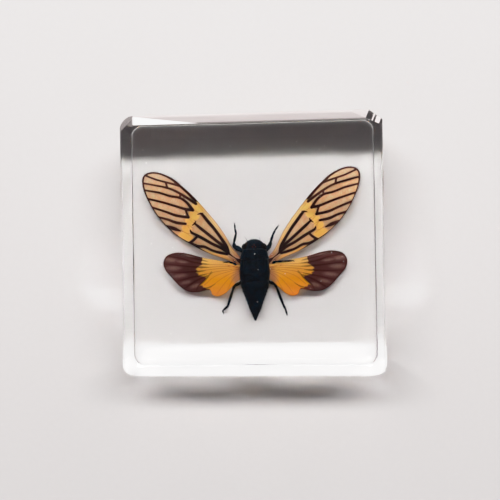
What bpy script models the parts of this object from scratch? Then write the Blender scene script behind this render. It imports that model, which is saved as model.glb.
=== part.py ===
"""A cicada with spread wings, sealed in a square block of clear resin.

The block stands on its flat underside, with its centre over the origin. +Y is the way the
insect's head points, +X is its right side. The block is two pours of resin that meet at
the plane of the wings, and the insect lies in a close pocket between them.
"""
import math

import bmesh
import bpy
from mathutils import Matrix, Vector

MM = 0.001

# Resin block
BLOCK_SIDE = 75 * MM
BLOCK_HEIGHT = 20 * MM
CORNER_RADIUS = 3.4 * MM
BOTTOM_EDGE_ROUND = 0.4 * MM
TOP_EDGE_ROUND = 1.0 * MM
CORNER_STEPS = 5
EDGE_STEPS = 3

# Where the insect lies, and the room around it
WING_PLANE = 5.5 * MM             # height of the wings, and of the seam between the pours
POUR_GAP = 0.3 * MM
POCKET_CLEARANCE = 0.4 * MM
BODY_MIDDLE = 0.6 * MM            # the insect lies this far to the right of the middle

# Wings
WING_THICKNESS = 0.3 * MM
WING_HINGE = 4.4 * MM             # from the insect's middle to the root of each wing
FOREWING_ROOT_Y = -4.6 * MM
HINDWING_ROOT_Y = -7.4 * MM
HINDWING_DROP = 0.12 * MM         # the hindwings lie this much lower than the forewings
# Side, angle of the forewing above +X, its size against the outline below
FOREWING_SETS = ((-1, 41.0, 1.0), (1, 43.6, 0.97))
VEIN_RIDGE = 0.14 * MM            # how far a vein stands out of the wing on each side

# Millimetres along the wing from its root, and towards its leading edge
FOREWING_OUTLINE = (
    (-1.2, 0.2), (3.7, 1.05), (8.3, 2.65), (12.7, 3.8), (17.9, 4.7), (22.2, 5.3),
    (25.4, 5.55), (28.5, 5.6), (32.1, 5.4), (35.6, 4.35), (37.8, 2.9), (39.0, 0.9),
    (38.4, -1.0), (36.3, -2.85), (33.1, -4.5), (28.5, -6.1), (23.5, -6.95), (18.5, -6.9),
    (13.2, -6.05), (8.0, -4.7), (3.5, -3.0), (-0.6, -1.8))
HINDWING_OUTLINE = (
    (-1.6, 0.7), (3.7, 1.9), (7.3, 2.6), (11.4, 3.4), (15.7, 4.6), (19.3, 5.0), (22.3, 4.1),
    (23.4, 2.0), (22.8, -0.4), (20.8, -2.8), (18.4, -5.4), (15.9, -6.9), (13.0, -7.1),
    (9.5, -6.5), (8.6, -7.9), (6.8, -8.5), (4.5, -7.5), (2.6, -5.7), (0.8, -3.9),
    (-1.4, -2.6))
# Each vein: half its width, then its course in the same two directions
FOREWING_VEINS = (
    (0.36, ((-0.6, 0.0), (3.7, 0.8), (8.0, 2.35), (14.5, 3.95), (21.8, 4.85), (28.4, 5.05))),
    (0.34, ((2.0, -0.9), (5.5, 0.3), (10.5, 1.6), (14.7, 2.5), (18.4, 2.9))),
    (0.34, ((2.0, -0.9), (7.4, -0.1), (14.5, -0.9), (18.0, -0.9))),
    (0.34, ((2.0, -1.0), (8.7, -1.6), (12.0, -2.2), (16.6, -3.5))),
    (0.28, ((2.0, -1.1), (5.7, -2.1), (9.0, -3.2), (11.2, -3.9), (14.0, -5.8))),
    (0.26, ((21.2, 4.0), (24.8, 3.6), (31.1, 2.3), (34.1, 0.7), (38.0, -1.2))),
    (0.24, ((28.6, 4.9), (32.7, 3.2), (34.9, 2.2), (38.3, 0.9))),
    (0.26, ((21.1, 2.1), (26.2, 2.3), (29.6, 0.5), (32.7, -1.0), (36.2, -2.5))),
    (0.24, ((20.8, 2.0), (25.8, -0.4), (29.7, -1.9), (33.6, -4.0))),
    (0.24, ((20.5, -0.5), (23.7, -2.3), (27.0, -3.6), (30.6, -5.2))),
    (0.24, ((19.3, -2.3), (22.2, -4.1), (24.9, -5.0), (27.0, -6.3))))
HINDWING_VEINS = (
    (0.26, ((-1.0, 0.3), (3.7, 1.7), (11.4, 3.15), (16.0, 4.2), (19.5, 4.7))),
    (0.18, ((-1.0, -0.2), (6.0, 1.4), (13.0, 2.2), (21.8, 2.6))),
    (0.18, ((-1.0, -0.6), (6.0, 0.2), (13.0, 0.1), (21.8, 0.1))),
    (0.18, ((-1.0, -1.0), (5.0, -1.2), (12.0, -2.4), (19.6, -3.2))),
    (0.18, ((-1.0, -1.4), (4.0, -2.4), (10.0, -4.8), (14.6, -6.4))),
    (0.16, ((-0.8, -1.8), (2.6, -3.6), (6.0, -6.6))))

# Body, in millimetres from the middle of the block and from the plane of the wings:
# place along Y, half width, rise above the plane, depth below it
HEAD_AND_THORAX = (
    (1.35, 0.25, 0.0, 0.6), (1.10, 1.05, 0.6, 1.3), (0.55, 2.20, 1.3, 2.1),
    (-0.20, 2.95, 1.9, 2.7), (-1.10, 3.25, 2.3, 3.0), (-1.75, 3.35, 2.4, 3.1),
    (-1.85, 3.60, 2.8, 3.2), (-3.20, 4.00, 3.3, 3.5), (-4.50, 4.35, 3.7, 3.6),
    (-4.75, 4.15, 3.5, 3.6), (-6.40, 4.40, 3.9, 3.7), (-8.60, 4.60, 4.0, 3.7),
    (-10.60, 4.45, 3.7, 3.6), (-11.70, 4.20, 3.3, 3.4))
ABDOMEN_WIDTHS = ((-12.2, 4.30), (-13.6, 3.90), (-15.1, 3.40), (-17.5, 2.48), (-19.9, 1.62),
                  (-21.1, 1.05), (-22.3, 0.60), (-23.3, 0.16))
ABDOMEN_RINGS = 9
RING_STEP = 0.05                  # how far each ring's rear rim stands proud, as a share
ABDOMEN_RISE = 0.84               # height above the plane against half width
ABDOMEN_DEPTH = 0.80
BODY_SIDES = 18
EYE_RADIUS = 1.15 * MM
EYE_PLACE = (2.65, -0.95, 0.35)

# Legs, in millimetres from the middle of the block and from the plane of the wings, each
# point with the leg's thickness there
LEGS = (
    # fore legs: thick thigh, shin, foot
    ((-1.6, -2.8, -2.2, 1.2), (-3.6, -2.0, -2.2, 1.3), (-5.7, -0.6, -2.3, 1.1),
     (-5.6, 0.4, -2.3, 0.7), (-4.9, 3.2, -2.5, 0.65), (-5.3, 6.1, -2.7, 0.4)),
    ((2.8, -2.8, -2.2, 1.2), (4.4, -1.8, -2.2, 1.2), (5.4, -0.4, -2.3, 0.9),
     (5.6, 0.4, -2.3, 0.7), (6.3, 2.6, -2.5, 0.65), (7.9, 5.2, -2.7, 0.4)),
    # middle legs, which lie between the fore- and hindwing
    ((-2.4, -6.6, -1.9, 1.1), (-4.6, -6.3, -1.3, 0.9), (-6.2, -5.7, -1.0, 0.6),
     (-8.4, -5.7, -1.0, 0.4)),
    ((3.6, -6.0, -1.9, 1.1), (5.6, -5.6, -1.3, 0.9), (7.6, -5.6, -1.0, 0.6),
     (12.2, -5.6, -1.0, 0.4)),
    # hind legs: short thigh, long shin, foot
    ((-2.2, -11.0, -2.4, 1.1), (-4.2, -12.1, -2.4, 1.0), (-5.7, -12.8, -2.4, 0.85),
     (-6.2, -14.0, -2.5, 0.75), (-7.9, -19.1, -2.8, 0.75), (-9.5, -20.5, -2.9, 0.45),
     (-9.3, -21.2, -3.0, 0.35)),
    ((3.4, -11.0, -2.4, 1.1), (5.2, -11.9, -2.4, 1.0), (6.6, -12.4, -2.4, 0.85),
     (7.2, -13.6, -2.5, 0.75), (9.2, -19.1, -2.8, 0.75), (10.3, -21.7, -3.0, 0.4)))
BEAK = ((0.6, -0.2, -2.4, 1.2), (0.6, -3.2, -3.4, 0.8), (0.6, -6.8, -3.75, 0.5))
FEELERS = (((-1.2, 0.3, 0.6, 0.3), (-1.7, 1.3, 0.7, 0.2), (-2.3, 2.3, 0.8, 0.14)),
           ((2.4, 0.2, 0.6, 0.3), (2.4, 1.1, 0.7, 0.2), (2.1, 2.0, 0.8, 0.14)))
# The raised cross at the rear of the thorax
CROSS_ARMS = (((-1.4, -8.6, 3.1, 0.7), (0.6, -9.9, 3.85, 0.9), (2.6, -11.2, 2.9, 0.7)),
              ((2.6, -8.6, 3.1, 0.7), (0.6, -9.9, 3.85, 0.9), (-1.4, -11.2, 2.9, 0.7)))
LEG_SIDES = 6
FINE_SIDES = 4


def clear_scene():
    for thing in list(bpy.data.objects):
        bpy.data.objects.remove(thing, do_unlink=True)


def plain_material(name, colour, roughness, transmission=0.0, alpha=1.0):
    """A Principled material with one linear colour."""
    material = bpy.data.materials.new(name)
    material.use_nodes = True
    shader = material.node_tree.nodes["Principled BSDF"]
    shader.inputs["Base Color"].default_value = (*colour, 1.0)
    shader.inputs["Roughness"].default_value = roughness
    shader.inputs["Metallic"].default_value = 0.0
    shader.inputs["Transmission Weight"].default_value = transmission
    shader.inputs["Alpha"].default_value = alpha
    material.diffuse_color = (*colour, alpha)
    return material


def dress(pieces, material):
    """Gives every piece the material, and hands the pieces back."""
    for piece in pieces:
        piece.data.materials.append(material)
    return pieces


def smooth_curve(points, steps, closed):
    """Points on a Catmull-Rom curve that runs through all the given ones."""
    points = [Vector(point) for point in points]
    count = len(points)
    curve = []
    for index in range(count if closed else count - 1):
        if closed:
            near = [points[(index + shift) % count] for shift in (-1, 0, 1, 2)]
        else:
            near = [points[min(max(index + shift, 0), count - 1)] for shift in (-1, 0, 1, 2)]
        before, start, end, after = near
        for step in range(steps):
            t = step / steps
            curve.append(0.5 * (2 * start + (end - before) * t
                                + (2 * before - 5 * start + 4 * end - after) * t ** 2
                                + (3 * start - before - 3 * end + after) * t ** 3))
    if not closed:
        curve.append(points[-1])
    return curve


def blend(table, place):
    """The value at a place in a table of (place, value) rows whose places fall."""
    for (high, first), (low, second) in zip(table, table[1:]):
        if place >= low:
            return first + (second - first) * (high - place) / (high - low)
    return table[-1][1]


def solid_from_rings(name, rings):
    """A closed solid over rings of equally many points, with a flat face at each end."""
    mesh = bmesh.new()
    loops = [[mesh.verts.new(point) for point in ring] for ring in rings]
    for low, high in zip(loops, loops[1:]):
        for index, corner in enumerate(low):
            after = (index + 1) % len(low)
            mesh.faces.new((corner, low[after], high[after], high[index]))
    mesh.faces.new(loops[0][::-1])
    mesh.faces.new(loops[-1])
    bmesh.ops.recalc_face_normals(mesh, faces=mesh.faces)
    return new_object(name, mesh)


def new_object(name, mesh):
    data = bpy.data.meshes.new(name)
    mesh.to_mesh(data)
    mesh.free()
    thing = bpy.data.objects.new(name, data)
    bpy.context.collection.objects.link(thing)
    return thing


def taper(name, points, sides, grow=0.0):
    """A round limb through points (x, y, z, thickness) in mm, on the plane of the wings."""
    path = [Vector((x * MM, y * MM, WING_PLANE + z * MM)) for x, y, z, _ in points]
    sizes = [thickness * MM / 2 + grow for *_, thickness in points]
    path[0], path[-1] = (end + (end - near).normalized() * grow
                         for end, near in ((path[0], path[1]), (path[-1], path[-2])))
    rings = []
    for index, (centre, size) in enumerate(zip(path, sizes)):
        along = (path[min(index + 1, len(path) - 1)] - path[max(index - 1, 0)]).normalized()
        side = along.cross(Vector((0, 0, 1))).normalized()
        up = side.cross(along)
        angles = [math.tau * (step + 0.25) / sides for step in range(sides)]
        rings.append([centre + size * (side * math.cos(a) + up * math.sin(a))
                      for a in angles])
    return solid_from_rings(name, rings)


def wing_place(side, hinge_y, drop, angle, size):
    """The move from a wing's own directions to where it lies in the block."""
    mirror = Matrix.Diagonal((side * size, size, 1, 1))
    turn = Matrix.Rotation(math.radians(side * angle), 4, "Z")
    hinge = Vector((BODY_MIDDLE + side * WING_HINGE, hinge_y, WING_PLANE - drop))
    return Matrix.Translation(hinge) @ turn @ mirror


def wing_places():
    """Each wing's outline, veins and place."""
    for side, angle, size in FOREWING_SETS:
        place = wing_place(side, FOREWING_ROOT_Y, 0, angle, size)
        yield FOREWING_OUTLINE, FOREWING_VEINS, place
    for side in (-1, 1):
        place = wing_place(side, HINDWING_ROOT_Y, HINDWING_DROP, 0, 1)
        yield HINDWING_OUTLINE, HINDWING_VEINS, place


def wing_blade(outline, place, thickness, grow=0.0, steps=2):
    """A flat wing of even thickness, grown outwards by the given room."""
    edge = [place @ Vector((x * MM, y * MM, 0))
            for x, y in smooth_curve(outline, steps, closed=True)]
    reach = grow * turning(edge)
    spread = []
    for index, point in enumerate(edge):
        run = (edge[(index + 1) % len(edge)] - edge[index - 1]).normalized()
        spread.append(point + run.cross(Vector((0, 0, 1))) * reach)
    half = Vector((0, 0, thickness / 2 + grow))
    return solid_from_rings("blade", [[p - half for p in spread], [p + half for p in spread]])


def turning(loop):
    """1 for a loop that runs counter-clockwise seen from above, -1 for the other way."""
    area = sum(a.x * b.y - b.x * a.y for a, b in zip(loop, loop[1:] + loop[:1]))
    return math.copysign(1, area)


def wing_vein(half_width, course, place):
    """A vein: a ridge on both faces of the wing, thinning towards its outer end."""
    path = [place @ Vector((x * MM, y * MM, 0)) for x, y in course]
    rings = []
    for index, centre in enumerate(path):
        along = (path[min(index + 1, len(path) - 1)] - path[max(index - 1, 0)]).normalized()
        side = along.cross(Vector((0, 0, 1)))
        size = half_width * MM * (1 - 0.35 * index / (len(path) - 1))
        height = Vector((0, 0, WING_THICKNESS / 2 + VEIN_RIDGE))
        rings.append([centre + side * size, centre + height,
                      centre - side * size, centre - height])
    return solid_from_rings("vein", rings)


def body_sections():
    """Sections of the body along its length: place, half width, rise and depth."""
    sections = list(HEAD_AND_THORAX)
    front, rear = ABDOMEN_WIDTHS[0][0], ABDOMEN_WIDTHS[-1][0]
    length = (front - rear) / ABDOMEN_RINGS
    for ring in range(ABDOMEN_RINGS):
        start = front - ring * length
        for place, share in ((start, 1 - RING_STEP), (start - 0.93 * length, 1 + RING_STEP)):
            width = blend(ABDOMEN_WIDTHS, place) * share
            sections.append((place, width, width * ABDOMEN_RISE, width * ABDOMEN_DEPTH))
    return sections


def body_solid(sections, grow=0.0):
    """The body as one loft through its sections, grown outwards by the given room."""
    rings = []
    for index, (place, width, rise, depth) in enumerate(sections):
        y = place * MM
        if index == 0:
            y += grow
        if index == len(sections) - 1:
            y -= grow
        ring = []
        for step in range(BODY_SIDES):
            angle = math.tau * step / BODY_SIDES
            height = rise if math.sin(angle) > 0 else depth
            ring.append(Vector((BODY_MIDDLE + (width * MM + grow) * math.cos(angle), y,
                                WING_PLANE + (height * MM + grow) * math.sin(angle))))
        rings.append(ring)
    return solid_from_rings("body", rings)


def eye_solid(side, grow=0.0):
    mesh = bmesh.new()
    bmesh.ops.create_uvsphere(mesh, u_segments=12, v_segments=8, radius=EYE_RADIUS + grow)
    x, y, z = (value * MM for value in EYE_PLACE)
    centre = Vector((BODY_MIDDLE + side * x, y, WING_PLANE + z))
    bmesh.ops.translate(mesh, verts=mesh.verts, vec=centre)
    return new_object("eye", mesh)


def join_solids(name, pieces):
    """One solid from overlapping ones. The pieces are used up."""
    whole = pieces[0]
    for piece in pieces[1:]:
        union = whole.modifiers.new("join", "BOOLEAN")
        union.operation = "UNION"
        union.solver = "EXACT"
        union.use_self = True
        union.material_mode = "TRANSFER"
        union.object = piece
    bpy.context.view_layer.update()
    evaluated = whole.evaluated_get(bpy.context.evaluated_depsgraph_get())
    data = bpy.data.meshes.new_from_object(evaluated)
    for piece in pieces:
        bpy.data.objects.remove(piece, do_unlink=True)
    data.name = name
    thing = bpy.data.objects.new(name, data)
    bpy.context.collection.objects.link(thing)
    return thing


def make_cicada():
    black = plain_material("black_cuticle", (0.003, 0.006, 0.011), 0.4)
    amber = plain_material("amber_wing", (0.42, 0.21, 0.07), 0.35)
    brown = plain_material("brown_vein", (0.035, 0.008, 0.006), 0.45)
    pieces = [body_solid(body_sections())]
    pieces += [eye_solid(side) for side in (-1, 1)]
    pieces += [taper("arm", arm, LEG_SIDES) for arm in CROSS_ARMS]
    pieces += [taper("leg", leg, LEG_SIDES) for leg in (*LEGS, BEAK)]
    pieces += [taper("feeler", feeler, FINE_SIDES) for feeler in FEELERS]
    dress(pieces, black)
    for outline, veins, place in wing_places():
        pieces += dress([wing_blade(outline, place, WING_THICKNESS)], amber)
        pieces += dress([wing_vein(half_width, course, place)
                         for half_width, course in veins], brown)
    join_solids("cicada", pieces)


def make_pocket_form():
    """The room for the insect: its own shape, plainer and grown by the clearance."""
    grow = POCKET_CLEARANCE
    abdomen = [(place, width, width * ABDOMEN_RISE, width * ABDOMEN_DEPTH)
               for place, width in ((place, width * (1 + RING_STEP))
                                    for place, width in ABDOMEN_WIDTHS)]
    pieces = [body_solid(list(HEAD_AND_THORAX) + abdomen, grow)]
    pieces += [eye_solid(side, grow) for side in (-1, 1)]
    pieces += [taper("leg_room", leg, LEG_SIDES, grow) for leg in (*LEGS, BEAK, *CROSS_ARMS)]
    pieces += [taper("feeler_room", feeler, FINE_SIDES, grow) for feeler in FEELERS]
    blade = WING_THICKNESS + 2 * VEIN_RIDGE
    pieces += [wing_blade(outline, place, blade, grow, steps=1)
               for outline, _, place in wing_places()]
    form = join_solids("pocket_form", pieces)
    form.hide_render = True
    form.display_type = "WIRE"
    return form


def block_outline(inset, radius):
    """The block's outline from above with its sides moved in and its corners rounded."""
    reach = BLOCK_SIDE / 2 - inset
    corners = ((reach, reach), (-reach, reach), (-reach, -reach), (reach, -reach))
    outline = []
    for quarter, (x, y) in enumerate(corners):
        centre = (x - math.copysign(radius, x), y - math.copysign(radius, y))
        for step in range(CORNER_STEPS + 1):
            angle = math.pi / 2 * (quarter + step / CORNER_STEPS)
            outline.append((centre[0] + radius * math.cos(angle),
                            centre[1] + radius * math.sin(angle)))
    return outline


def block_levels(low, high):
    """Heights of the block's outlines with their insets, between two heights."""
    levels = []
    for step in range(EDGE_STEPS + 1):
        angle = math.pi / 2 * step / EDGE_STEPS
        inset = BOTTOM_EDGE_ROUND * (1 - math.sin(angle))
        levels.append((BOTTOM_EDGE_ROUND * (1 - math.cos(angle)), inset))
    for step in range(EDGE_STEPS + 1):
        angle = math.pi / 2 * step / EDGE_STEPS
        levels.append((BLOCK_HEIGHT - TOP_EDGE_ROUND * (1 - math.sin(angle)),
                       TOP_EDGE_ROUND * (1 - math.cos(angle))))
    levels += [(low, 0.0)] if low > 0 else []
    levels += [(high, 0.0)] if high < BLOCK_HEIGHT else []
    return sorted(level for level in levels if low <= level[0] <= high)


def make_pour(name, low, high, pocket_form, material):
    """One pour of the block between two heights, with its side of the insect's pocket."""
    rings = []
    for height, inset in block_levels(low, high):
        radius = CORNER_RADIUS - inset / 2
        rings.append([Vector((x, y, height)) for x, y in block_outline(inset, radius)])
    pour = solid_from_rings(name, rings)
    pocket = pour.modifiers.new("pocket", "BOOLEAN")
    pocket.operation = "DIFFERENCE"
    pocket.solver = "EXACT"
    pocket.object = pocket_form
    pour.data.materials.append(material)
    return pour


def main():
    clear_scene()
    make_cicada()
    pocket_form = make_pocket_form()
    resin = plain_material("clear_resin", (0.92, 0.93, 0.92), 0.05, transmission=1.0, alpha=0.35)
    make_pour("resin_lower", 0.0, WING_PLANE - POUR_GAP / 2, pocket_form, resin)
    make_pour("resin_upper", WING_PLANE + POUR_GAP / 2, BLOCK_HEIGHT, pocket_form, resin)


main()
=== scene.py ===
"""A cicada with spread wings in a block of clear cast resin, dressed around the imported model.

Run it with blender --background --python, or from Blender's text editor. The tab "Cicada
block" in the 3D view's sidebar lists the settings and the steps. All sizes in the tables
are millimetres; +Y is the way the head points and +Z is up through the block.
"""

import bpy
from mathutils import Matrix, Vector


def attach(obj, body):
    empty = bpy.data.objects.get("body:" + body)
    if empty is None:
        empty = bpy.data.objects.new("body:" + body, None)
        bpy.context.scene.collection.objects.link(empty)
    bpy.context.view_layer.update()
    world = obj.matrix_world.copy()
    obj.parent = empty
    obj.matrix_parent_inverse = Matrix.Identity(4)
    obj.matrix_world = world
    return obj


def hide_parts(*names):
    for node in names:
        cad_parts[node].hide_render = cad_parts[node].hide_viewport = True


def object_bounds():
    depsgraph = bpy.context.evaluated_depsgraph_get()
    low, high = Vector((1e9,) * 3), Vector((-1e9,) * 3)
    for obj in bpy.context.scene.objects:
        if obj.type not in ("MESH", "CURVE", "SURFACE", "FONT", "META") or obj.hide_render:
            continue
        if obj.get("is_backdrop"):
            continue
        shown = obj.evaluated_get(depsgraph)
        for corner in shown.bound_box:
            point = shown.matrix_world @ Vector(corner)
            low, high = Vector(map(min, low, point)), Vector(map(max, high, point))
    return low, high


bl_info = {
    "name": "Cicada in a resin block",
    "version": (1, 0, 0),
    "blender": (4, 5, 0),
    "location": "3D View > Sidebar > Cicada block",
    "description": "Builds a winged cicada sealed in a block of clear cast resin",
    "category": "Object",
}

import math
import random
from typing import Callable, NamedTuple

import bmesh
import bpy
import numpy as np
from bpy.props import FloatProperty, FloatVectorProperty, IntProperty, PointerProperty
from bpy.types import Operator, Panel, PropertyGroup
from mathutils import Euler, Matrix, Vector, geometry

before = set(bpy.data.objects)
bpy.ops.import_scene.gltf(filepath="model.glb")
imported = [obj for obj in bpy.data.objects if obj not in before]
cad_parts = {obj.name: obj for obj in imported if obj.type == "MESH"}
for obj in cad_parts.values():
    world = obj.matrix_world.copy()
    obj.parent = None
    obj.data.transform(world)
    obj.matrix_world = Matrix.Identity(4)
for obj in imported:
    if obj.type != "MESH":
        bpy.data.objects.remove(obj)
FRAME_LOW, FRAME_HIGH = (Vector(corner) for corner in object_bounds())

MM = 0.001

# ---------------------------------------------------------------- where the insect lies

WING_PLANE = 5.5          # height of the wings above the underside of the block
BODY_MIDDLE = 0.6         # the insect lies this far to the right of the block's middle
WING_HINGE = 4.4          # from the insect's middle line to the root of each wing
FOREWING_ROOT_Y = -4.6
HINDWING_ROOT_Y = -7.4
HINDWING_DROP = 0.12      # the hindwings lie this much lower than the forewings
# Name, side, angle above +X, size against the outline below
FOREWING_SETS = (("left", -1, 41.0, 1.0), ("right", 1, 43.6, 0.97))
SIDES = (("left", -1), ("right", 1))

# ---------------------------------------------------------------- forewing drawing
# Millimetres along the wing from its root and towards its leading edge, then how wide the
# dark rim is at that point of the outline

FOREWING_OUTLINE = (
    (-1.2, 0.2, 0.05), (3.7, 1.05, 0.05), (8.3, 2.65, 0.05), (12.7, 3.8, 0.05),
    (17.9, 4.7, 0.06), (21.0, 5.15, 0.12), (22.2, 5.3, 0.80), (25.4, 5.55, 0.84),
    (28.5, 5.6, 0.78), (32.1, 5.4, 0.66), (35.6, 4.35, 0.58), (37.8, 2.9, 0.56),
    (39.0, 0.9, 0.56), (38.4, -1.0, 0.56), (36.3, -2.85, 0.50), (33.1, -4.5, 0.40),
    (28.5, -6.1, 0.30), (23.5, -6.95, 0.28), (18.5, -6.9, 0.22), (13.2, -6.05, 0.42),
    (8.0, -4.7, 0.12), (3.5, -3.0, 0.12), (-0.6, -1.8, 0.12))

# Each dark vein: its course, with half its width at each point
FOREWING_VEINS = (
    ((4.0, -0.9, 0.40), (2.6, -0.85, 0.20), (1.2, -0.7, 0.16), (0.1, -0.6, 0.50),
     (-0.9, -0.4, 0.70)),
    ((18.6, 2.1, 0.10), (18.2, 2.7, 0.20), (17.6, 3.4, 0.14)),
    ((18.1, 2.9, 0.24), (17.0, 2.85, 0.44), (14.6, 2.4, 0.48), (12.1, 2.0, 0.46),
     (8.4, 1.1, 0.46), (5.5, 0.2, 0.50), (3.9, -0.8, 0.42)),
    ((17.7, 0.2, 0.10), (17.5, -0.5, 0.22), (17.7, -1.5, 0.12)),
    ((17.6, -0.6, 0.26), (15.6, -0.6, 0.44), (12.5, -0.5, 0.46), (9.0, -0.4, 0.46),
     (6.2, -0.3, 0.46), (4.2, -0.8, 0.42)),
    ((17.3, -3.0, 0.14), (16.5, -3.35, 0.34), (14.9, -3.0, 0.42), (12.6, -2.5, 0.46),
     (9.4, -1.9, 0.44), (6.4, -1.1, 0.46), (4.2, -0.9, 0.40)),
    ((14.4, -3.0, 0.34), (14.5, -4.6, 0.40), (14.9, -6.1, 0.36)),
    ((14.8, -6.0, 0.34), (12.4, -5.3, 0.42), (10.6, -4.1, 0.40), (8.0, -3.4, 0.38),
     (5.8, -2.4, 0.42), (3.9, -1.4, 0.36)),
    ((21.1, 4.2, 0.41), (24.8, 3.75, 0.40), (28.3, 3.15, 0.34), (31.1, 2.2, 0.31),
     (34.3, 0.5, 0.28), (37.6, -1.4, 0.27)),
    ((28.2, 5.2, 0.31), (30.4, 4.3, 0.31), (32.6, 3.25, 0.29), (35.4, 1.95, 0.28),
     (38.4, 0.9, 0.27)),
    ((32.5, 3.3, 0.29), (31.0, 2.3, 0.29)),
    ((20.6, 2.1, 0.46), (23.5, 2.7, 0.40), (26.1, 2.4, 0.35), (28.6, 0.95, 0.33),
     (32.0, -0.5, 0.30), (35.8, -2.7, 0.28)),
    ((26.7, 3.5, 0.31), (26.1, 2.4, 0.31)),
    ((20.7, 2.1, 0.44), (22.6, 0.85, 0.40), (25.8, -0.5, 0.35), (29.2, -2.0, 0.33),
     (33.4, -4.1, 0.30)),
    ((22.6, 0.9, 0.31), (20.5, -0.3, 0.33)),
    ((20.2, -0.4, 0.40), (23.4, -2.4, 0.40), (26.6, -3.6, 0.34), (30.8, -5.3, 0.30)),
    ((19.6, -2.5, 0.35), (22.1, -4.1, 0.44), (24.6, -5.0, 0.35), (27.3, -6.3, 0.30)),
    ((19.4, -5.2, 0.21), (21.4, -5.9, 0.54), (23.6, -6.8, 0.35)))

# Pale veins that cross the bright band or run beside the leading edge
FOREWING_NERVES = (
    ((-0.5, 0.1, 0.16), (3.7, 0.92, 0.13), (8.3, 2.5, 0.10), (12.7, 3.65, 0.09),
     (17.9, 4.55, 0.08), (21.0, 5.0, 0.08)),
    ((0.4, -0.4, 0.12), (3.7, 0.35, 0.09), (8.0, 1.85, 0.07), (14.5, 3.45, 0.07),
     (18.0, 3.95, 0.07), (21.2, 4.3, 0.07)),
    ((18.0, 2.6, 0.07), (19.4, 2.55, 0.07), (20.7, 2.15, 0.07)),
    ((17.6, -0.7, 0.07), (18.8, -0.7, 0.07), (20.3, -0.6, 0.07)),
    ((16.6, -3.0, 0.07), (18.2, -2.7, 0.07), (20.0, -2.5, 0.07)),
    ((15.9, -4.3, 0.07), (18.0, -4.6, 0.07), (20.0, -4.9, 0.07)),
    ((3.9, -1.6, 0.09), (2.0, -1.4, 0.12), (0.2, -1.0, 0.14)))

VEIN_STAIN = 0.05         # the brown of the dark veins reaches this far past their ridges

# The bright band is a chain of rounded lobes: middle, half length, half width and tilt
BAND_LOBES = ((19.8, 3.9, 2.15, 1.65, 0), (19.3, 1.15, 1.7, 1.6, 0), (18.9, -1.2, 1.55, 1.4, 0),
              (18.3, -3.4, 1.6, 1.4, 0), (17.0, -5.4, 2.3, 1.3, -21))
COSTAL_STRIP = ((-0.5, 0.6), (3.7, 1.3), (8.0, 2.9), (14.5, 4.5), (21.2, 5.4), (21.2, 3.6),
                (17.8, 3.5), (13.4, 2.7), (9.0, 1.6), (5.0, 0.5), (1.0, -0.5))
CLAVAL_STRIP = ((11.6, -5.9), (9.8, -5.7), (6.0, -4.6), (3.6, -3.5), (1.2, -2.5), (1.4, -1.6),
                (4.0, -2.0), (6.2, -3.0), (8.4, -3.8), (10.6, -4.9))
DARK_CLOUD = ((19.8, -5.0), (21.2, -5.1), (23.4, -6.1), (24.2, -7.0), (21.6, -7.1), (20.0, -6.2))

# ---------------------------------------------------------------- hindwing drawing

HINDWING_OUTLINE = (
    (-1.6, 0.7, 0.02), (3.7, 1.9, 0.02), (7.3, 2.6, 0.02), (11.4, 3.4, 0.16),
    (15.7, 4.6, 0.28), (19.3, 5.0, 0.30), (22.3, 4.1, 0.34), (23.4, 2.0, 0.36),
    (22.8, -0.4, 0.38), (20.8, -2.8, 0.38), (18.4, -5.4, 0.34), (15.9, -6.9, 0.34),
    (13.0, -7.1, 0.34), (9.5, -6.5, 0.10), (8.6, -7.9, 0.02), (6.8, -8.5, 0.02),
    (4.5, -7.5, 0.02), (2.6, -5.7, 0.02), (0.8, -3.9, 0.02), (-1.4, -2.6, 0.02))
# The side of this line away from the root is dark brown, with teeth between the veins
DUSKY_PART = (
    (11.5, 4.2), (11.5, 2.5), (11.9, 1.9), (11.4, 1.3), (12.5, 0.8), (13.6, -0.2),
    (12.9, -0.6), (13.6, -1.1), (12.6, -1.6), (13.0, -2.0), (11.9, -2.2), (10.6, -2.6),
    (10.4, -3.0), (11.4, -4.0), (12.5, -5.2), (11.6, -5.1), (11.4, -5.7), (10.7, -5.7),
    (10.4, -6.2), (9.3, -6.2), (9.3, -7.2), (14.0, -9.0), (26.0, -6.0), (26.0, 6.0),
    (14.0, 6.0))
HINDWING_VEINS = (
    ((9.8, 2.2, 0.04), (11.2, 2.5, 0.20), (14.5, 3.3, 0.20), (18.4, 4.5, 0.16)),
    ((9.4, 1.3, 0.04), (11.3, 1.5, 0.24), (14.5, 2.1, 0.24), (17.8, 3.2, 0.20),
     (21.6, 3.9, 0.14)),
    ((9.6, 0.4, 0.04), (12.0, 0.5, 0.24), (15.0, 0.7, 0.24), (18.5, 1.1, 0.18),
     (22.8, 1.6, 0.14)),
    ((10.6, -0.6, 0.05), (12.6, -0.8, 0.26), (15.5, -0.9, 0.24), (18.5, -1.0, 0.18),
     (22.2, -0.9, 0.14)),
    ((10.2, -1.6, 0.05), (12.4, -2.1, 0.26), (15.0, -2.6, 0.24), (17.4, -3.2, 0.18),
     (20.0, -3.8, 0.14)),
    ((8.4, -1.2, 0.05), (9.8, -2.1, 0.12), (11.2, -2.6, 0.24), (13.6, -3.7, 0.24),
     (15.5, -4.9, 0.18), (17.4, -6.1, 0.14)),
    ((8.7, -0.9, 0.05), (10.0, -2.6, 0.22), (11.4, -4.0, 0.28), (12.8, -5.2, 0.20),
     (13.6, -6.9, 0.12)),
    ((7.6, -4.6, 0.04), (9.4, -5.6, 0.16), (11.6, -6.3, 0.20)))
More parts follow.
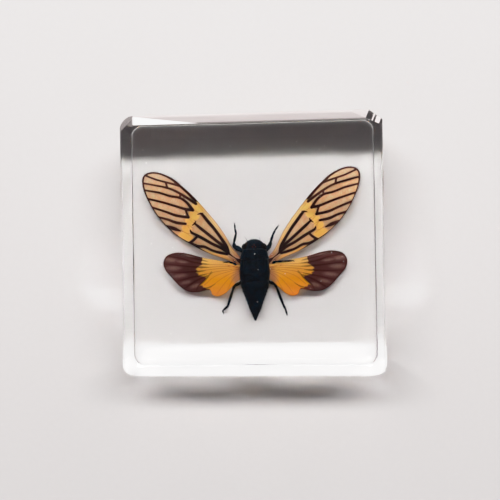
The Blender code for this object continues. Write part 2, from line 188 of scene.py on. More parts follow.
HINDWING_NERVES = (
    ((-1.0, 0.1, 0.07), (4.0, 1.0, 0.06), (8.0, 1.2, 0.07), (11.6, 1.6, 0.09)),
    ((-1.0, 0.0, 0.07), (4.0, 0.6, 0.06), (8.0, 0.5, 0.07), (12.2, 0.2, 0.09)),
    ((-1.0, -0.1, 0.07), (4.0, 0.1, 0.06), (8.4, -0.2, 0.07), (12.8, -0.8, 0.09)),
    ((-1.0, -0.2, 0.07), (4.0, -0.5, 0.06), (8.0, -1.1, 0.07), (12.3, -2.0, 0.09)),
    ((-1.0, -0.3, 0.07), (3.6, -1.0, 0.06), (7.8, -2.4, 0.06), (11.0, -5.0, 0.08)),
    ((-1.0, -0.5, 0.07), (3.0, -1.6, 0.06), (6.6, -3.7, 0.06), (9.4, -6.0, 0.08)),
    ((-1.0, -0.7, 0.07), (2.4, -2.2, 0.06), (5.2, -5.0, 0.06), (7.2, -7.8, 0.06)),
    ((-1.0, -0.9, 0.07), (1.6, -2.6, 0.06), (3.0, -4.6, 0.06), (4.0, -6.6, 0.06)))
# Paler windows between the veins near the margin: middle, half length, half width
PALE_WINDOWS = ((20.4, 0.3, 1.9, 0.55), (18.4, -2.1, 1.8, 0.50), (21.2, 2.8, 1.6, 0.55),
                (16.6, -4.1, 1.5, 0.45), (13.8, -5.2, 1.4, 0.50), (17.8, 2.2, 1.5, 0.35),
                (16.4, 4.0, 1.8, 0.25))
CLEAR_FOLD = ((-1.6, 0.2), (0.6, 0.4), (1.6, -0.6), (2.4, -2.2), (2.6, -3.8), (1.6, -5.2),
              (-2.0, -3.4))

# ---------------------------------------------------------------- body drawing
# Place along Y, half width, rise above the plane of the wings, depth below it

HEAD_SECTIONS = (
    (1.38, 0.10, 0.05, 0.35), (1.32, 0.75, 0.40, 0.80), (1.16, 1.35, 0.80, 1.40),
    (0.86, 1.95, 1.20, 1.95), (0.42, 2.50, 1.60, 2.40), (-0.12, 2.85, 1.92, 2.65),
    (-0.70, 3.02, 2.15, 2.85), (-1.30, 3.04, 2.30, 2.95), (-1.80, 2.95, 2.30, 3.00),
    (-2.40, 2.60, 2.10, 2.80),
    (-2.80, 1.60, 1.30, 1.80), (-2.90, 0.10, 0.10, 0.10))
THORAX_SECTIONS = (
    (-1.50, 0.20, 0.10, 0.10), (-1.52, 2.60, 1.80, 1.60), (-1.62, 3.30, 2.50, 2.80),
    (-1.90, 3.55, 2.78, 3.15), (-2.60, 3.85, 3.05, 3.35), (-3.40, 4.05, 3.35, 3.50),
    (-4.10, 4.28, 3.62, 3.60), (-4.55, 4.38, 3.70, 3.62), (-4.75, 4.15, 3.52, 3.60),
    (-5.20, 4.22, 3.68, 3.65), (-6.40, 4.40, 3.92, 3.70), (-8.00, 4.55, 4.02, 3.70),
    (-9.20, 4.58, 3.92, 3.66), (-10.30, 4.45, 3.66, 3.60), (-11.10, 4.25, 3.30, 3.50),
    (-11.60, 3.60, 2.70, 2.90), (-11.75, 0.20, 0.20, 0.20))
ABDOMEN_SECTIONS = (
    (-10.90, 0.20, 0.20, 0.20), (-10.95, 3.40, 2.70, 2.70), (-11.40, 4.10, 3.40, 3.30),
    (-12.20, 4.30, 3.60, 3.45), (-13.60, 3.90, 3.28, 3.12), (-15.10, 3.40, 2.86, 2.72),
    (-17.50, 2.48, 2.08, 1.98), (-19.90, 1.62, 1.36, 1.30), (-21.10, 1.05, 0.88, 0.84),
    (-22.30, 0.60, 0.50, 0.48), (-23.10, 0.26, 0.22, 0.20), (-23.30, 0.05, 0.05, 0.05))
ABDOMEN_FRONT, ABDOMEN_REAR = -12.2, -23.3
ABDOMEN_RINGS = 9
EYE_RADIUS = 1.15
EYE_PLACE = (2.65, -0.95, 0.35)
OCELLI = ((0.0, -0.35, 2.02), (-0.42, -0.95, 2.26), (0.42, -0.95, 2.26))
OCELLUS_RADIUS = 0.16

# Furrows of the thorax seen from above, on its right half: course and half width
THORAX_FURROWS = (
    ((0.45, -1.7, 0.10), (0.30, -2.8, 0.12), (0.60, -4.0, 0.10)),
    ((1.0, -1.9, 0.10), (1.9, -2.9, 0.14), (2.2, -4.1, 0.10)),
    ((2.4, -1.9, 0.10), (2.9, -3.0, 0.13), (3.3, -4.0, 0.10)),
    ((0.35, -4.9, 0.08), (0.60, -6.2, 0.10), (1.00, -7.3, 0.06)),
    ((1.9, -4.9, 0.08), (1.9, -6.6, 0.11), (1.3, -8.2, 0.06)),
    ((3.4, -5.0, 0.10), (3.5, -7.0, 0.12), (3.0, -9.2, 0.10)))
# The raised cross at the rear of the thorax, on its right half
THORAX_CROSS = (((0.0, -9.9, 0.50), (1.1, -9.0, 0.34), (2.2, -8.5, 0.20)),
                ((0.0, -9.9, 0.50), (1.1, -10.6, 0.34), (2.3, -11.2, 0.24)))

# Legs and other limbs, from the middle of the block and the plane of the wings: each point
# has the limb's thickness there
LEGS = {
    "fore_left": ((-1.6, -2.8, -2.2, 1.3), (-3.6, -1.9, -2.2, 1.5), (-5.6, -0.8, -2.3, 1.3),
                  (-5.7, 0.3, -2.3, 0.75), (-5.0, 3.2, -2.5, 0.65), (-5.3, 4.6, -2.6, 0.5),
                  (-5.4, 6.1, -2.7, 0.4)),
    "fore_right": ((2.8, -2.8, -2.2, 1.3), (4.4, -1.8, -2.2, 1.4), (5.4, -0.4, -2.3, 1.2),
                   (5.6, 0.5, -2.3, 0.75), (6.3, 2.6, -2.5, 0.65), (7.0, 4.0, -2.6, 0.5),
                   (7.9, 5.2, -2.7, 0.4)),
    "middle_left": ((-2.4, -6.6, -1.9, 1.1), (-4.6, -6.4, -0.9, 0.9), (-5.9, -5.8, 0.4, 0.6),
                    (-7.1, -5.4, 0.45, 0.5), (-8.6, -5.5, 0.4, 0.35)),
    "middle_right": ((3.6, -6.3, -1.9, 1.1), (5.6, -6.0, -0.7, 0.9), (7.2, -5.5, 0.4, 0.6),
                     (9.4, -5.4, 0.45, 0.5), (12.2, -5.3, 0.4, 0.35)),
    "hind_left": ((-2.2, -11.0, -2.4, 1.1), (-4.2, -12.1, -2.4, 1.0), (-5.7, -12.8, -2.4, 0.85),
                  (-6.2, -14.0, -2.5, 0.75), (-7.9, -19.1, -2.8, 0.75),
                  (-9.5, -20.5, -2.9, 0.45), (-9.3, -21.2, -3.0, 0.35)),
    "hind_right": ((3.4, -11.0, -2.4, 1.1), (5.2, -11.9, -2.4, 1.0), (6.6, -12.4, -2.4, 0.85),
                   (7.2, -13.6, -2.5, 0.75), (9.2, -19.0, -2.8, 0.75),
                   (9.8, -20.2, -2.9, 0.55), (10.2, -21.8, -3.0, 0.45)),
}
BEAK = ((0.6, -0.2, -2.4, 1.2), (0.6, -3.2, -3.4, 0.8), (0.6, -6.8, -3.75, 0.5))
FEELERS = {
    "left": ((-1.2, 0.3, 0.6, 0.30), (-1.45, 0.8, 0.65, 0.20), (-1.7, 1.3, 0.7, 0.10),
             (-2.0, 1.8, 0.75, 0.07), (-2.3, 2.3, 0.8, 0.05)),
    "right": ((2.4, 0.2, 0.6, 0.30), (2.4, 0.7, 0.65, 0.20), (2.4, 1.1, 0.7, 0.10),
              (2.3, 1.6, 0.75, 0.07), (2.1, 2.0, 0.8, 0.05)),
}

# White specks that the photo shows caught in the resin: across, forward and up
SPECKS = ((13.7, 30.0, 10.0), (21.9, 28.5, 10.0), (20.3, 27.6, 10.0), (27.9, 35.5, 10.0),
          (-32.3, 28.7, 10.0), (-18.0, 29.5, 10.0), (-10.8, 29.4, 10.0), (-6.0, 29.2, 10.0),
          (23.7, -3.0, 6.4), (27.2, -5.7, 6.4), (20.4, -11.5, 6.4), (17.3, -13.6, 6.4),
          # the last three lie just above the insect's back, as pale dots where small bright spots
          # show on it
          (26.8, -4.3, 6.4), (0.8, -3.0, 10.4), (1.7, -7.7, 10.4), (1.3, -17.4, 8.0))

# ---------------------------------------------------------------- block drawing

CORNER_STEPS, BOTTOM_STEPS, TOP_STEPS = 14, 8, 12
SHARP_ANGLE = 15                  # faces of the block that meet at more degrees have a sharp edge

# Small facets ground on the upper corners ahead of the head: the corner's side, the way the
# facet faces in degrees from +X, its tilt in degrees from level, where it leaves the top face in
# millimetres from the middle of the corner's round, whether its left end is milky, and how far
# along it the finish changes. The milky stretches are painted highlights: they stand in for the
# white glints of the key light on these corners.
CORNER_FACETS = (
    {"side": -1, "azimuth": 136, "tilt": 35, "reach": 1.3, "milky_glint_first": True, "changes": ()},
    {"side": 1, "azimuth": 52, "tilt": 80, "reach": 2.3, "milky_glint_first": False, "changes": ()},
    {"side": 1, "azimuth": 65, "tilt": 27, "reach": 0.1, "milky_glint_first": True,
     "changes": (-1.6, 0.1, 0.5, 1.1, 2.4)})

# The strip that was ground and not polished again, in millimetres
STRIP_FADE = 1.2                  # it clears over this width at its inner edge
STRIP_COLOURS = ("C6BAB9", "E2D7D5")
HIGHLIGHT_WEDGE_SLOPE = 0.124               # the inner edge of the painted highlight wedge falls this much for each mm
# Where the painted highlight wedge begins and where it is whole: along the slope, along Y and
# along X
HIGHLIGHT_WEDGE_LIMITS = ((32.95, 32.75), (34.55, 34.85), (-33.9, -33.1))
CORNER_LIMITS = (33.2, 33.8)      # from here outwards the milky finish, painted glints, reaches across the corners

SPECK_SIZE = 0.30                 # the largest ones, across
SPECK_MARGIN = 3.0                # the random specks keep this far from the sides
SPECK_HEIGHTS = (7.5, 18.0)       # they lie between these heights
SPECK_COLOUR = "F4F2EE"

# ---------------------------------------------------------------- how finely the insect is cut

TRACE_STEP = 0.3                  # between points along a drawn vein or rim, in millimetres
WING_UV_SPAN = 40.0               # millimetres of wing that the UV map's side stands for
RIM_SLOPE = 0.3                   # the rim swells to its full height over this width
EDGE_ROUND = 0.12                 # the wing's edge is rounded over this width
FRINGE_GAP = 0.07                 # between the hairs along a wing's edge
FRINGE_THICKNESS = 0.022
SKIN_STEP, SKIN_COLUMNS = 0.10, 96
THINNEST = 0.02                   # the body's sections close to this half width, not to nothing
LIMB_STEP, LIMB_SIDES = 0.12, 20
FINE_STEP = 0.06                  # the same for claws and feelers
SPINES = 8                        # on each shin
# Each claw: how far along the foot, how far aside and how thick
CLAW = ((-0.10, 0.0, 0.16), (0.18, 0.14, 0.13), (0.42, 0.16, 0.08), (0.52, 0.06, 0.03))

# ---------------------------------------------------------------- view of the block

IMAGE_SIZE = 500                  # the picture is square, this many pixels a side
LENS_PIXELS = 480                 # focal length in pixels of that picture
SENSOR = 36.0                     # width of the camera's sensor, in millimetres
CAMERA_PLACE = (0.00524, 0.00195, 0.15576)  # metres
CAMERA_TURN = (0.405, 3.074, -0.932)        # degrees
CAMERA_SHIFT = (6.32, -16.43)               # pixels

# The lights stand ahead of the head: degrees from overhead, then width and height in metres
KEY_ZENITH, KEY_SIZE = 34.3, (2.2, 0.20)
WINDOW_ZENITH, WINDOW_SIZE = 79, (1.6, 0.20)
LAMP_DISTANCE = 1.2
MIRRORED = 0.12                   # a polarising filter takes the rest of the key's mirror image
FILTER_GAP = 0.002                # the filtered part of the key stands this much further back
ROOM_COLOUR = "FFF7FE"
FLOOR_REACH = 1.0                 # metres from the middle to each side
FLOOR_GAP = 0.0001                # keeps the floor clear of the block's underside

WHITE = 2.0                       # brightness that the picture shows as white
TONE_CURVE = ((0.35, 0.35), (0.72, 0.71), (1.0, 0.87), (1.4, 0.93))     # bright, then shown


def linear(hex_colour):
    """An sRGB hex colour as linear red, green and blue."""
    parts = [int(hex_colour[start:start + 2], 16) / 255 for start in (0, 2, 4)]
    return tuple(part / 12.92 if part <= 0.04045 else ((part + 0.055) / 1.055) ** 2.4
                 for part in parts)


def length_setting(name, description, default):
    """A length that a user may change, given in millimetres."""
    return FloatProperty(name=name, description=description, default=default * MM,
                         min=0.0, subtype="DISTANCE", unit="LENGTH", precision=5)


def colour_setting(name, description, hex_colour):
    """A colour that a user may change."""
    return FloatVectorProperty(name=name, description=description, default=linear(hex_colour),
                               size=3, min=0.0, max=1.0, subtype="COLOR")


class ResinSettings(PropertyGroup):
    """Sizes and looks of the block."""
    corner_radius: length_setting("Corner radius", "Roundness of the upright corners", 3.4)
    bottom_round: length_setting("Bottom edge", "Radius of the edge round the underside", 0.4)
    top_round: length_setting("Top edge", "Radius of the edge round the top face", 1.0)
    ground_strip: length_setting("Ground strip", "Unpolished strip of the top face ahead of "
                                 "the head", 3.3)
    ior: FloatProperty(name="Refractive index", description="Clear polyester casting resin",
                       default=1.5, min=1.0, max=2.0)
    tint: colour_setting("Tint", "Colour that thick resin takes on", "EAF1EC")
    density: FloatProperty(name="Tint density", description="Absorption for each metre",
                           default=1.6, min=0.0)
    specks: IntProperty(name="Specks", description="Dust and tiny bubbles caught in the resin",
                        default=22, min=0)


class WingSettings(PropertyGroup):
    """Sizes and colours of the wings."""
    spacing: length_setting("Mesh spacing", "Distance between points of the wing's mesh", 0.22)
    membrane: length_setting("Membrane", "Thickness of the wing between its veins", 0.08)
    vein_rise: length_setting("Vein rise", "How far the widest veins stand out", 0.12)
    tan: colour_setting("Membrane", "Smoky tan of the outer forewing", "FFE6B0")
    tan_dark: colour_setting("Membrane grain", "Darker grain in the tan", "FFB980")
    band: colour_setting("Bright band", "Yellow band across the forewing", "FFD86C")
    band_deep: colour_setting("Band, rear end", "Deeper yellow at the rear end", "FFC65A")
    straw: colour_setting("Leading strip", "Straw strip along the leading edge", "FFDC8C")
    amber: colour_setting("Rear strip", "Orange strip along the rear edge", "FFC75C")
    rust: colour_setting("Wing root", "Rusty root of the wings", "B0542A")
    vein: colour_setting("Veins near the root", "Almost black", "1A0404")
    vein_brown: colour_setting("Veins near the tip", "Maroon brown", "380F08")
    orange: colour_setting("Hindwing orange", "Ground colour of the inner hindwing", "FFB018")
    orange_pale: colour_setting("Hindwing leading orange", "Paler orange in front", "FFCE68")
    orange_deep: colour_setting("Hindwing rear orange", "Deeper orange of the rear lobe",
                                "FF9E3C")
    fold: colour_setting("Hindwing fold", "Pinkish fold beside the body", "E69E6A")
    dusk: colour_setting("Hindwing brown", "Dark outer part", "5A2A26")
    dusk_pale: colour_setting("Hindwing windows", "Paler windows in the brown", "96685C")


class BodySettings(PropertyGroup):
    """Sizes and colours of the body and limbs."""
    cuticle: colour_setting("Cuticle", "Blue-black of the body", "00131F")
    cuticle_warm: colour_setting("Cuticle edges", "Brown tone of joints and rims", "040507")
    eye: colour_setting("Eyes", "Dark compound eyes", "05070A")
    ocellus: colour_setting("Ocelli", "Three small eyes on the crown", "5A2418")
    hair: colour_setting("Hair", "Short hair of body and legs", "05090D")
    fringe: colour_setting("Fringe", "Short hair round the wings", "6B554A")
    hair_length: length_setting("Hair length", "Length of the body's hair", 0.5)
    hair_density: FloatProperty(name="Hair per square mm", default=20.0, min=0.0,
                                description="How close the body's hair stands")


class StageSettings(PropertyGroup):
    """Floor and lights."""
    floor: colour_setting("Floor", "Plain pale paper", "BFBBBA")
    key: FloatProperty(name="Key light", description="Power of the strip light, in watts",
                       default=37.0, min=0.0, unit="POWER")
    window: FloatProperty(name="Window light", description="Power of the low light, in watts",
                          default=9.3, min=0.0, unit="POWER")
    fill: FloatProperty(name="Room light", description="Strength of the even light",
                        default=0.11, min=0.0)


# ---------------------------------------------------------------- small helpers

def add(tree, kind, inputs=None, **settings):
    """Adds a node, with its settings, and sets or links its inputs by name or number."""
    new = tree.nodes.new(kind)
    for field, value in settings.items():
        setattr(new, field, value)
    for key, value in (inputs or {}).items():
        if isinstance(key, str):
            socket = next(s for s in new.inputs if s.enabled and s.name == key)
        else:
            socket = new.inputs[key]
        if isinstance(value, bpy.types.NodeSocket):
            tree.links.new(value, socket)
        elif socket.type == "RGBA":
            socket.default_value = (*value, 1.0)[:4]
        else:
            socket.default_value = value
    return new


def new_material(name, roughness, ior=1.5):
    """A material with its node tree and its Principled shader."""
    material = bpy.data.materials.new(name)
    material.use_nodes = True
    shader = material.node_tree.nodes["Principled BSDF"]
    shader.inputs["Roughness"].default_value = roughness
    shader.inputs["IOR"].default_value = ior
    return material, material.node_tree, shader


def layered(tree, ground, *coats, kind="RGBA"):
    """A ground colour with coats laid over it in turn, each as far as its mask says. The
    coats can be plain numbers too, with the kind FLOAT."""
    for mask, coat in coats:
        blend = add(tree, "ShaderNodeMix", {"Factor": mask, "A": ground, "B": coat},
                    data_type=kind)
        ground = next(socket for socket in blend.outputs if socket.enabled)
    return ground


def darker(colour, share):
    """A colour with only a share of its light."""
    return tuple(part * share for part in colour)


def mottle(tree, shader, colour, share, scale, detail=2.0):
    """Gives a material its colour, with soft spots that have only a share of its light."""
    place = add(tree, "ShaderNodeTexCoord").outputs["Object"]
    spots = add(tree, "ShaderNodeTexNoise", {"Vector": place, "Scale": scale, "Detail": detail})
    tone = layered(tree, darker(colour, share), (spots.outputs[0], colour))
    tree.links.new(tone, shader.inputs["Base Color"])


def smooth_path(points, step, closed=False):
    """Rows about one step apart on a Catmull-Rom curve through the given rows."""
    rows = np.array(points, dtype=float)
    count = len(rows)
    path = []
    for index in range(count if closed else count - 1):
        picks = [index + shift for shift in (-1, 0, 1, 2)]
        picks = [p % count if closed else min(max(p, 0), count - 1) for p in picks]
        before, start, end, after = rows[picks]
        steps = max(1, math.ceil(np.linalg.norm((end - start)[:2]) / step))
        t = (np.arange(steps) / steps)[:, None]
        path.append(0.5 * (2 * start + (end - before) * t
                           + (2 * before - 5 * start + 4 * end - after) * t ** 2
                           + (3 * start - before - 3 * end + after) * t ** 3))
    if not closed:
        path.append(rows[-1:])
    return np.concatenate(path)


def stroke_field(spots, course, closed=False):
    """Distance from each spot to a stroke's edge, less than nothing inside it, and how
    high on the stroke's rounded back the spot lies, from 0 to 1. Rows are x, y, half width."""
    rows = np.vstack([course, course[:1]]) if closed else np.asarray(course)
    reach = np.full(len(spots), np.inf)
    back = np.zeros(len(spots))
    for start, end in zip(rows, rows[1:]):
        run = end[:2] - start[:2]
        t = np.clip((spots - start[:2]) @ run / max(run @ run, 1e-12), 0, 1)
        away = np.linalg.norm(spots - start[:2] - t[:, None] * run, axis=1)
        half = start[2] + t * (end[2] - start[2])
        reach = np.minimum(reach, away - half)
        back = np.maximum(back, 1 - (away / np.maximum(half, 1e-6)) ** 2)
    return reach, np.sqrt(np.maximum(back, 0))


def zone_field(spots, outline):
    """Distance from each spot to a closed outline, less than nothing inside it."""
    edge = np.array([(x, y, 0.0) for x, y in outline])
    away, _ = stroke_field(spots, edge, closed=True)
    inside = np.zeros(len(spots), dtype=bool)
    x, y = spots[:, 0], spots[:, 1]
    for (x0, y0, _), (x1, y1, _) in zip(edge, np.roll(edge, -1, axis=0)):
        crosses = (y0 > y) != (y1 > y)
        inside ^= crosses & (x < x0 + (x1 - x0) * (y - y0) / (y1 - y0 + 1e-12))
    return np.where(inside, -away, away)


def soft_step(values, low, high):
    """0 up to the low value, 1 from the high one, and a soft step between."""
    t = np.clip((values - low) / (high - low), 0, 1)
    return t * t * (3 - 2 * t)


def thinned(spots, room):
    """The spots in their order, without those that lie closer than room to an earlier one."""
    kept, cells = [], {}
    for x, y in spots:
        column, row = math.floor(x / room), math.floor(y / room)
        near = (other for i in (-1, 0, 1) for j in (-1, 0, 1)
                for other in cells.get((column + i, row + j), ()))
        if all((x - a) ** 2 + (y - b) ** 2 >= room * room for a, b in near):
            kept.append((x, y))
            cells.setdefault((column, row), []).append((x, y))
    return kept


def new_mesh(name, places, faces):
    """A smooth mesh from places in metres. Its faces are turned to point outwards."""
    data = bpy.data.meshes.new(name)
    data.from_pydata([tuple(place) for place in places], [], faces)
    edit = bmesh.new()
    edit.from_mesh(data)
    bmesh.ops.recalc_face_normals(edit, faces=edit.faces)
    edit.to_mesh(data)
    edit.free()
    data.shade_smooth()
    return data


def store(data, name, values, kind="FLOAT"):
    """Keeps values on a mesh's points under a name, for materials and node trees."""
    layer = data.attributes.new(name, kind, "POINT")
    field = {"FLOAT": "value", "FLOAT_VECTOR": "vector", "FLOAT_COLOR": "color"}[kind]
    layer.data.foreach_set(field, np.asarray(values, dtype=np.float32).ravel())


def point_mesh(places, ways=None):
    """Loose points in metres, which may keep a way to point as their attribute "outward"."""
    data = bpy.data.meshes.new("points")
    data.from_pydata([tuple(place) for place in places], [], [])
    if ways is not None:
        store(data, "outward", [tuple(way) for way in ways], "FLOAT_VECTOR")
    return data


def place_piece(name, data, material, nodes=("cicada",)):
    """Links a finished mesh that stands for CAD nodes, and lets it ride on the one body."""
    data.name = name
    data.materials.clear()
    data.materials.append(material)
    piece = bpy.data.objects.new(name, data)
    bpy.context.scene.collection.objects.link(piece)
    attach(piece, "root")
    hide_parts(*nodes)


def joined(name, meshes):
    """One smooth mesh from several, which are used up."""
    edit = bmesh.new()
    for data in meshes:
        edit.from_mesh(data)
        bpy.data.meshes.remove(data)
    whole = bpy.data.meshes.new(name)
    edit.to_mesh(whole)
    edit.free()
    whole.shade_smooth()
    return whole


# ---------------------------------------------------------------- node trees for repeats

def new_tree(build, sizes):
    """A geometry tree with an input for the geometry, one for each size and one for the
    material. What build adds to it is made real and gets the material."""
    kinds = {"Geometry": "NodeSocketGeometry"}
    for name, value in sizes.items():
        whole = isinstance(value, int)
        kinds[name.capitalize()] = "NodeSocketInt" if whole else "NodeSocketFloat"
    kinds["Material"] = "NodeSocketMaterial"
    tree = bpy.data.node_groups.new(build.__name__, "GeometryNodeTree")
    for name, kind in kinds.items():
        tree.interface.new_socket(name, in_out="INPUT", socket_type=kind)
    tree.interface.new_socket("Geometry", in_out="OUTPUT", socket_type="NodeSocketGeometry")
    given = add(tree, "NodeGroupInput").outputs
    real = add(tree, "GeometryNodeRealizeInstances", {0: build(tree, given)})
    painted = add(tree, "GeometryNodeSetMaterial",
                  {"Geometry": real.outputs[0], "Material": given["Material"]})
    add(tree, "NodeGroupOutput", {0: painted.outputs[0]})
    return tree


def grow(build, data, material, **sizes):
    """Runs a geometry tree on a mesh and hands back what it makes as a plain mesh. The tree
    is built on its first use and kept under the builder's name."""
    tree = bpy.data.node_groups.get(build.__name__) or new_tree(build, sizes)
    carrier = bpy.data.objects.new("carrier", data)
    bpy.context.scene.collection.objects.link(carrier)
    growth = carrier.modifiers.new("growth", "NODES")
    growth.node_group = tree
    sockets = {item.name: item.identifier for item in tree.interface.items_tree
               if item.in_out == "INPUT"}
    for name, value in sizes.items():
        growth[sockets[name.capitalize()]] = value
    growth[sockets["Material"]] = material
    depsgraph = bpy.context.evaluated_depsgraph_get()
    made = bpy.data.meshes.new_from_object(carrier.evaluated_get(depsgraph),
                                           preserve_all_data_layers=True, depsgraph=depsgraph)
    carrier.modifiers.remove(growth)
    bpy.data.objects.remove(carrier, do_unlink=True)
    return made


def stand_bristles(tree, given, points, direction):
    """Stands a thin tapered bristle on every point, along a direction, each leaning a
    little its own way."""
    shape = add(tree, "GeometryNodeMeshCone",
                {"Vertices": 4, "Side Segments": 1, "Radius Top": 0.0,
                 "Radius Bottom": 0.5, "Depth": 1.0}, fill_type="TRIANGLE_FAN")
    turn = add(tree, "FunctionNodeAlignRotationToVector", {"Vector": direction}, axis="Z")
    lean = add(tree, "FunctionNodeRandomValue",
               {"Min": (-1.0, -1.0, -math.pi), "Max": (1.0, 1.0, math.pi),
                "Seed": given["Seed"]}, data_type="FLOAT_VECTOR")
    leaning = add(tree, "ShaderNodeVectorMath",
                  {0: lean.outputs[0], "Scale": given["Lean"]}, operation="SCALE")
    turned = add(tree, "FunctionNodeRotateRotation",
                 {"Rotation": turn.outputs[0], "Rotate By": leaning.outputs[0]},
                 rotation_space="LOCAL")
    share = add(tree, "FunctionNodeRandomValue",
                {"Min": 0.55, "Max": 1.0, "Seed": given["Seed"]}, data_type="FLOAT")
    tall = add(tree, "ShaderNodeMath", {0: given["Length"], 1: share.outputs[1]},
               operation="MULTIPLY")
    size = add(tree, "ShaderNodeCombineXYZ", {"X": given["Thickness"], "Y": given["Thickness"],
                                              "Z": tall.outputs[0]})
    return add(tree, "GeometryNodeInstanceOnPoints",
               {"Points": points, "Instance": shape.outputs["Mesh"],
                "Rotation": turned.outputs[0], "Scale": size.outputs[0]}).outputs[0]


def hair_coat(tree, given):
    """Short hair all over a surface, lying back towards the tail."""
    spread = add(tree, "GeometryNodeDistributePointsOnFaces",
                 {"Mesh": given["Geometry"], "Density": given["Density"],
                  "Seed": given["Seed"]})
    swept = add(tree, "ShaderNodeVectorMath",
                {0: spread.outputs["Normal"], 1: (0.0, -0.9, 0.15)}, operation="ADD")
    return stand_bristles(tree, given, spread.outputs["Points"], swept.outputs[0])


def bristle_row(tree, given):
    """One bristle on every point of a mesh, along its attribute "outward"."""
    points = add(tree, "GeometryNodeMeshToPoints", {"Mesh": given["Geometry"]})
    outward = add(tree, "GeometryNodeInputNamedAttribute", {"Name": "outward"},
                  data_type="FLOAT_VECTOR")
    return stand_bristles(tree, given, points.outputs[0], outward.outputs["Attribute"])


def round_limb(tree, given):
    """A round limb along a chain of edges, as thick as its attribute "thickness" says."""
    path = add(tree, "GeometryNodeMeshToCurve", {"Mesh": given["Geometry"]})
    bend = add(tree, "GeometryNodeCurveSplineType", {"Curve": path.outputs[0]},
               spline_type="CATMULL_ROM")
    fine = add(tree, "GeometryNodeResampleCurve",
               {"Curve": bend.outputs[0], "Length": given["Step"]}, mode="LENGTH")
    thickness = add(tree, "GeometryNodeInputNamedAttribute", {"Name": "thickness"},
                    data_type="FLOAT")
    half = add(tree, "ShaderNodeMath", {0: thickness.outputs["Attribute"], 1: 0.5},
               operation="MULTIPLY")
    ring = add(tree, "GeometryNodeCurvePrimitiveCircle",
               {"Radius": 1.0, "Resolution": given["Sides"]})
    return add(tree, "GeometryNodeCurveToMesh",
               {"Curve": fine.outputs[0], "Profile Curve": ring.outputs[0],
                "Scale": half.outputs[0], "Fill Caps": True}).outputs[0]


def tiny_balls(tree, given):
    """A tiny ball on every point, each of its own size."""
    points = add(tree, "GeometryNodeMeshToPoints", {"Mesh": given["Geometry"]})
    shape = add(tree, "GeometryNodeMeshIcoSphere", {"Radius": 0.5, "Subdivisions": 2})
    share = add(tree, "FunctionNodeRandomValue",
                {"Min": 0.35, "Max": 1.0, "Seed": given["Seed"]}, data_type="FLOAT")
    size = add(tree, "ShaderNodeMath", {0: given["Size"], 1: share.outputs[1]},
               operation="MULTIPLY")
    return add(tree, "GeometryNodeInstanceOnPoints",
               {"Points": points.outputs[0], "Instance": shape.outputs["Mesh"],
                "Scale": size.outputs[0]}).outputs[0]


# ---------------------------------------------------------------- resin block

def cast_resin(settings):
    """Clear unsaturated polyester, cast in a mould and polished by hand. It is a glass-clear
    solid with a faint tint in its depth. The polishing leaves its faces a little wavy, by
    some microns over 10 mm, which bends the edges seen in it."""
    material, tree, shader = new_material("polished_cast_polyester_resin", 0.0, settings.ior)
    shader.inputs["Base Color"].default_value = (1.0, 1.0, 1.0, 1.0)
    shader.inputs["Transmission Weight"].default_value = 1.0
    place = add(tree, "ShaderNodeTexCoord").outputs["Object"]
    waves = add(tree, "ShaderNodeTexNoise", {"Vector": place, "Scale": 90.0, "Detail": 1.0})
    bump = add(tree, "ShaderNodeBump", {"Height": waves.outputs[0], "Strength": 1.0,
                                        "Distance": 0.00002})
    tree.links.new(bump.outputs[0], shader.inputs["Normal"])
    tint_depth(tree, settings)
    return material


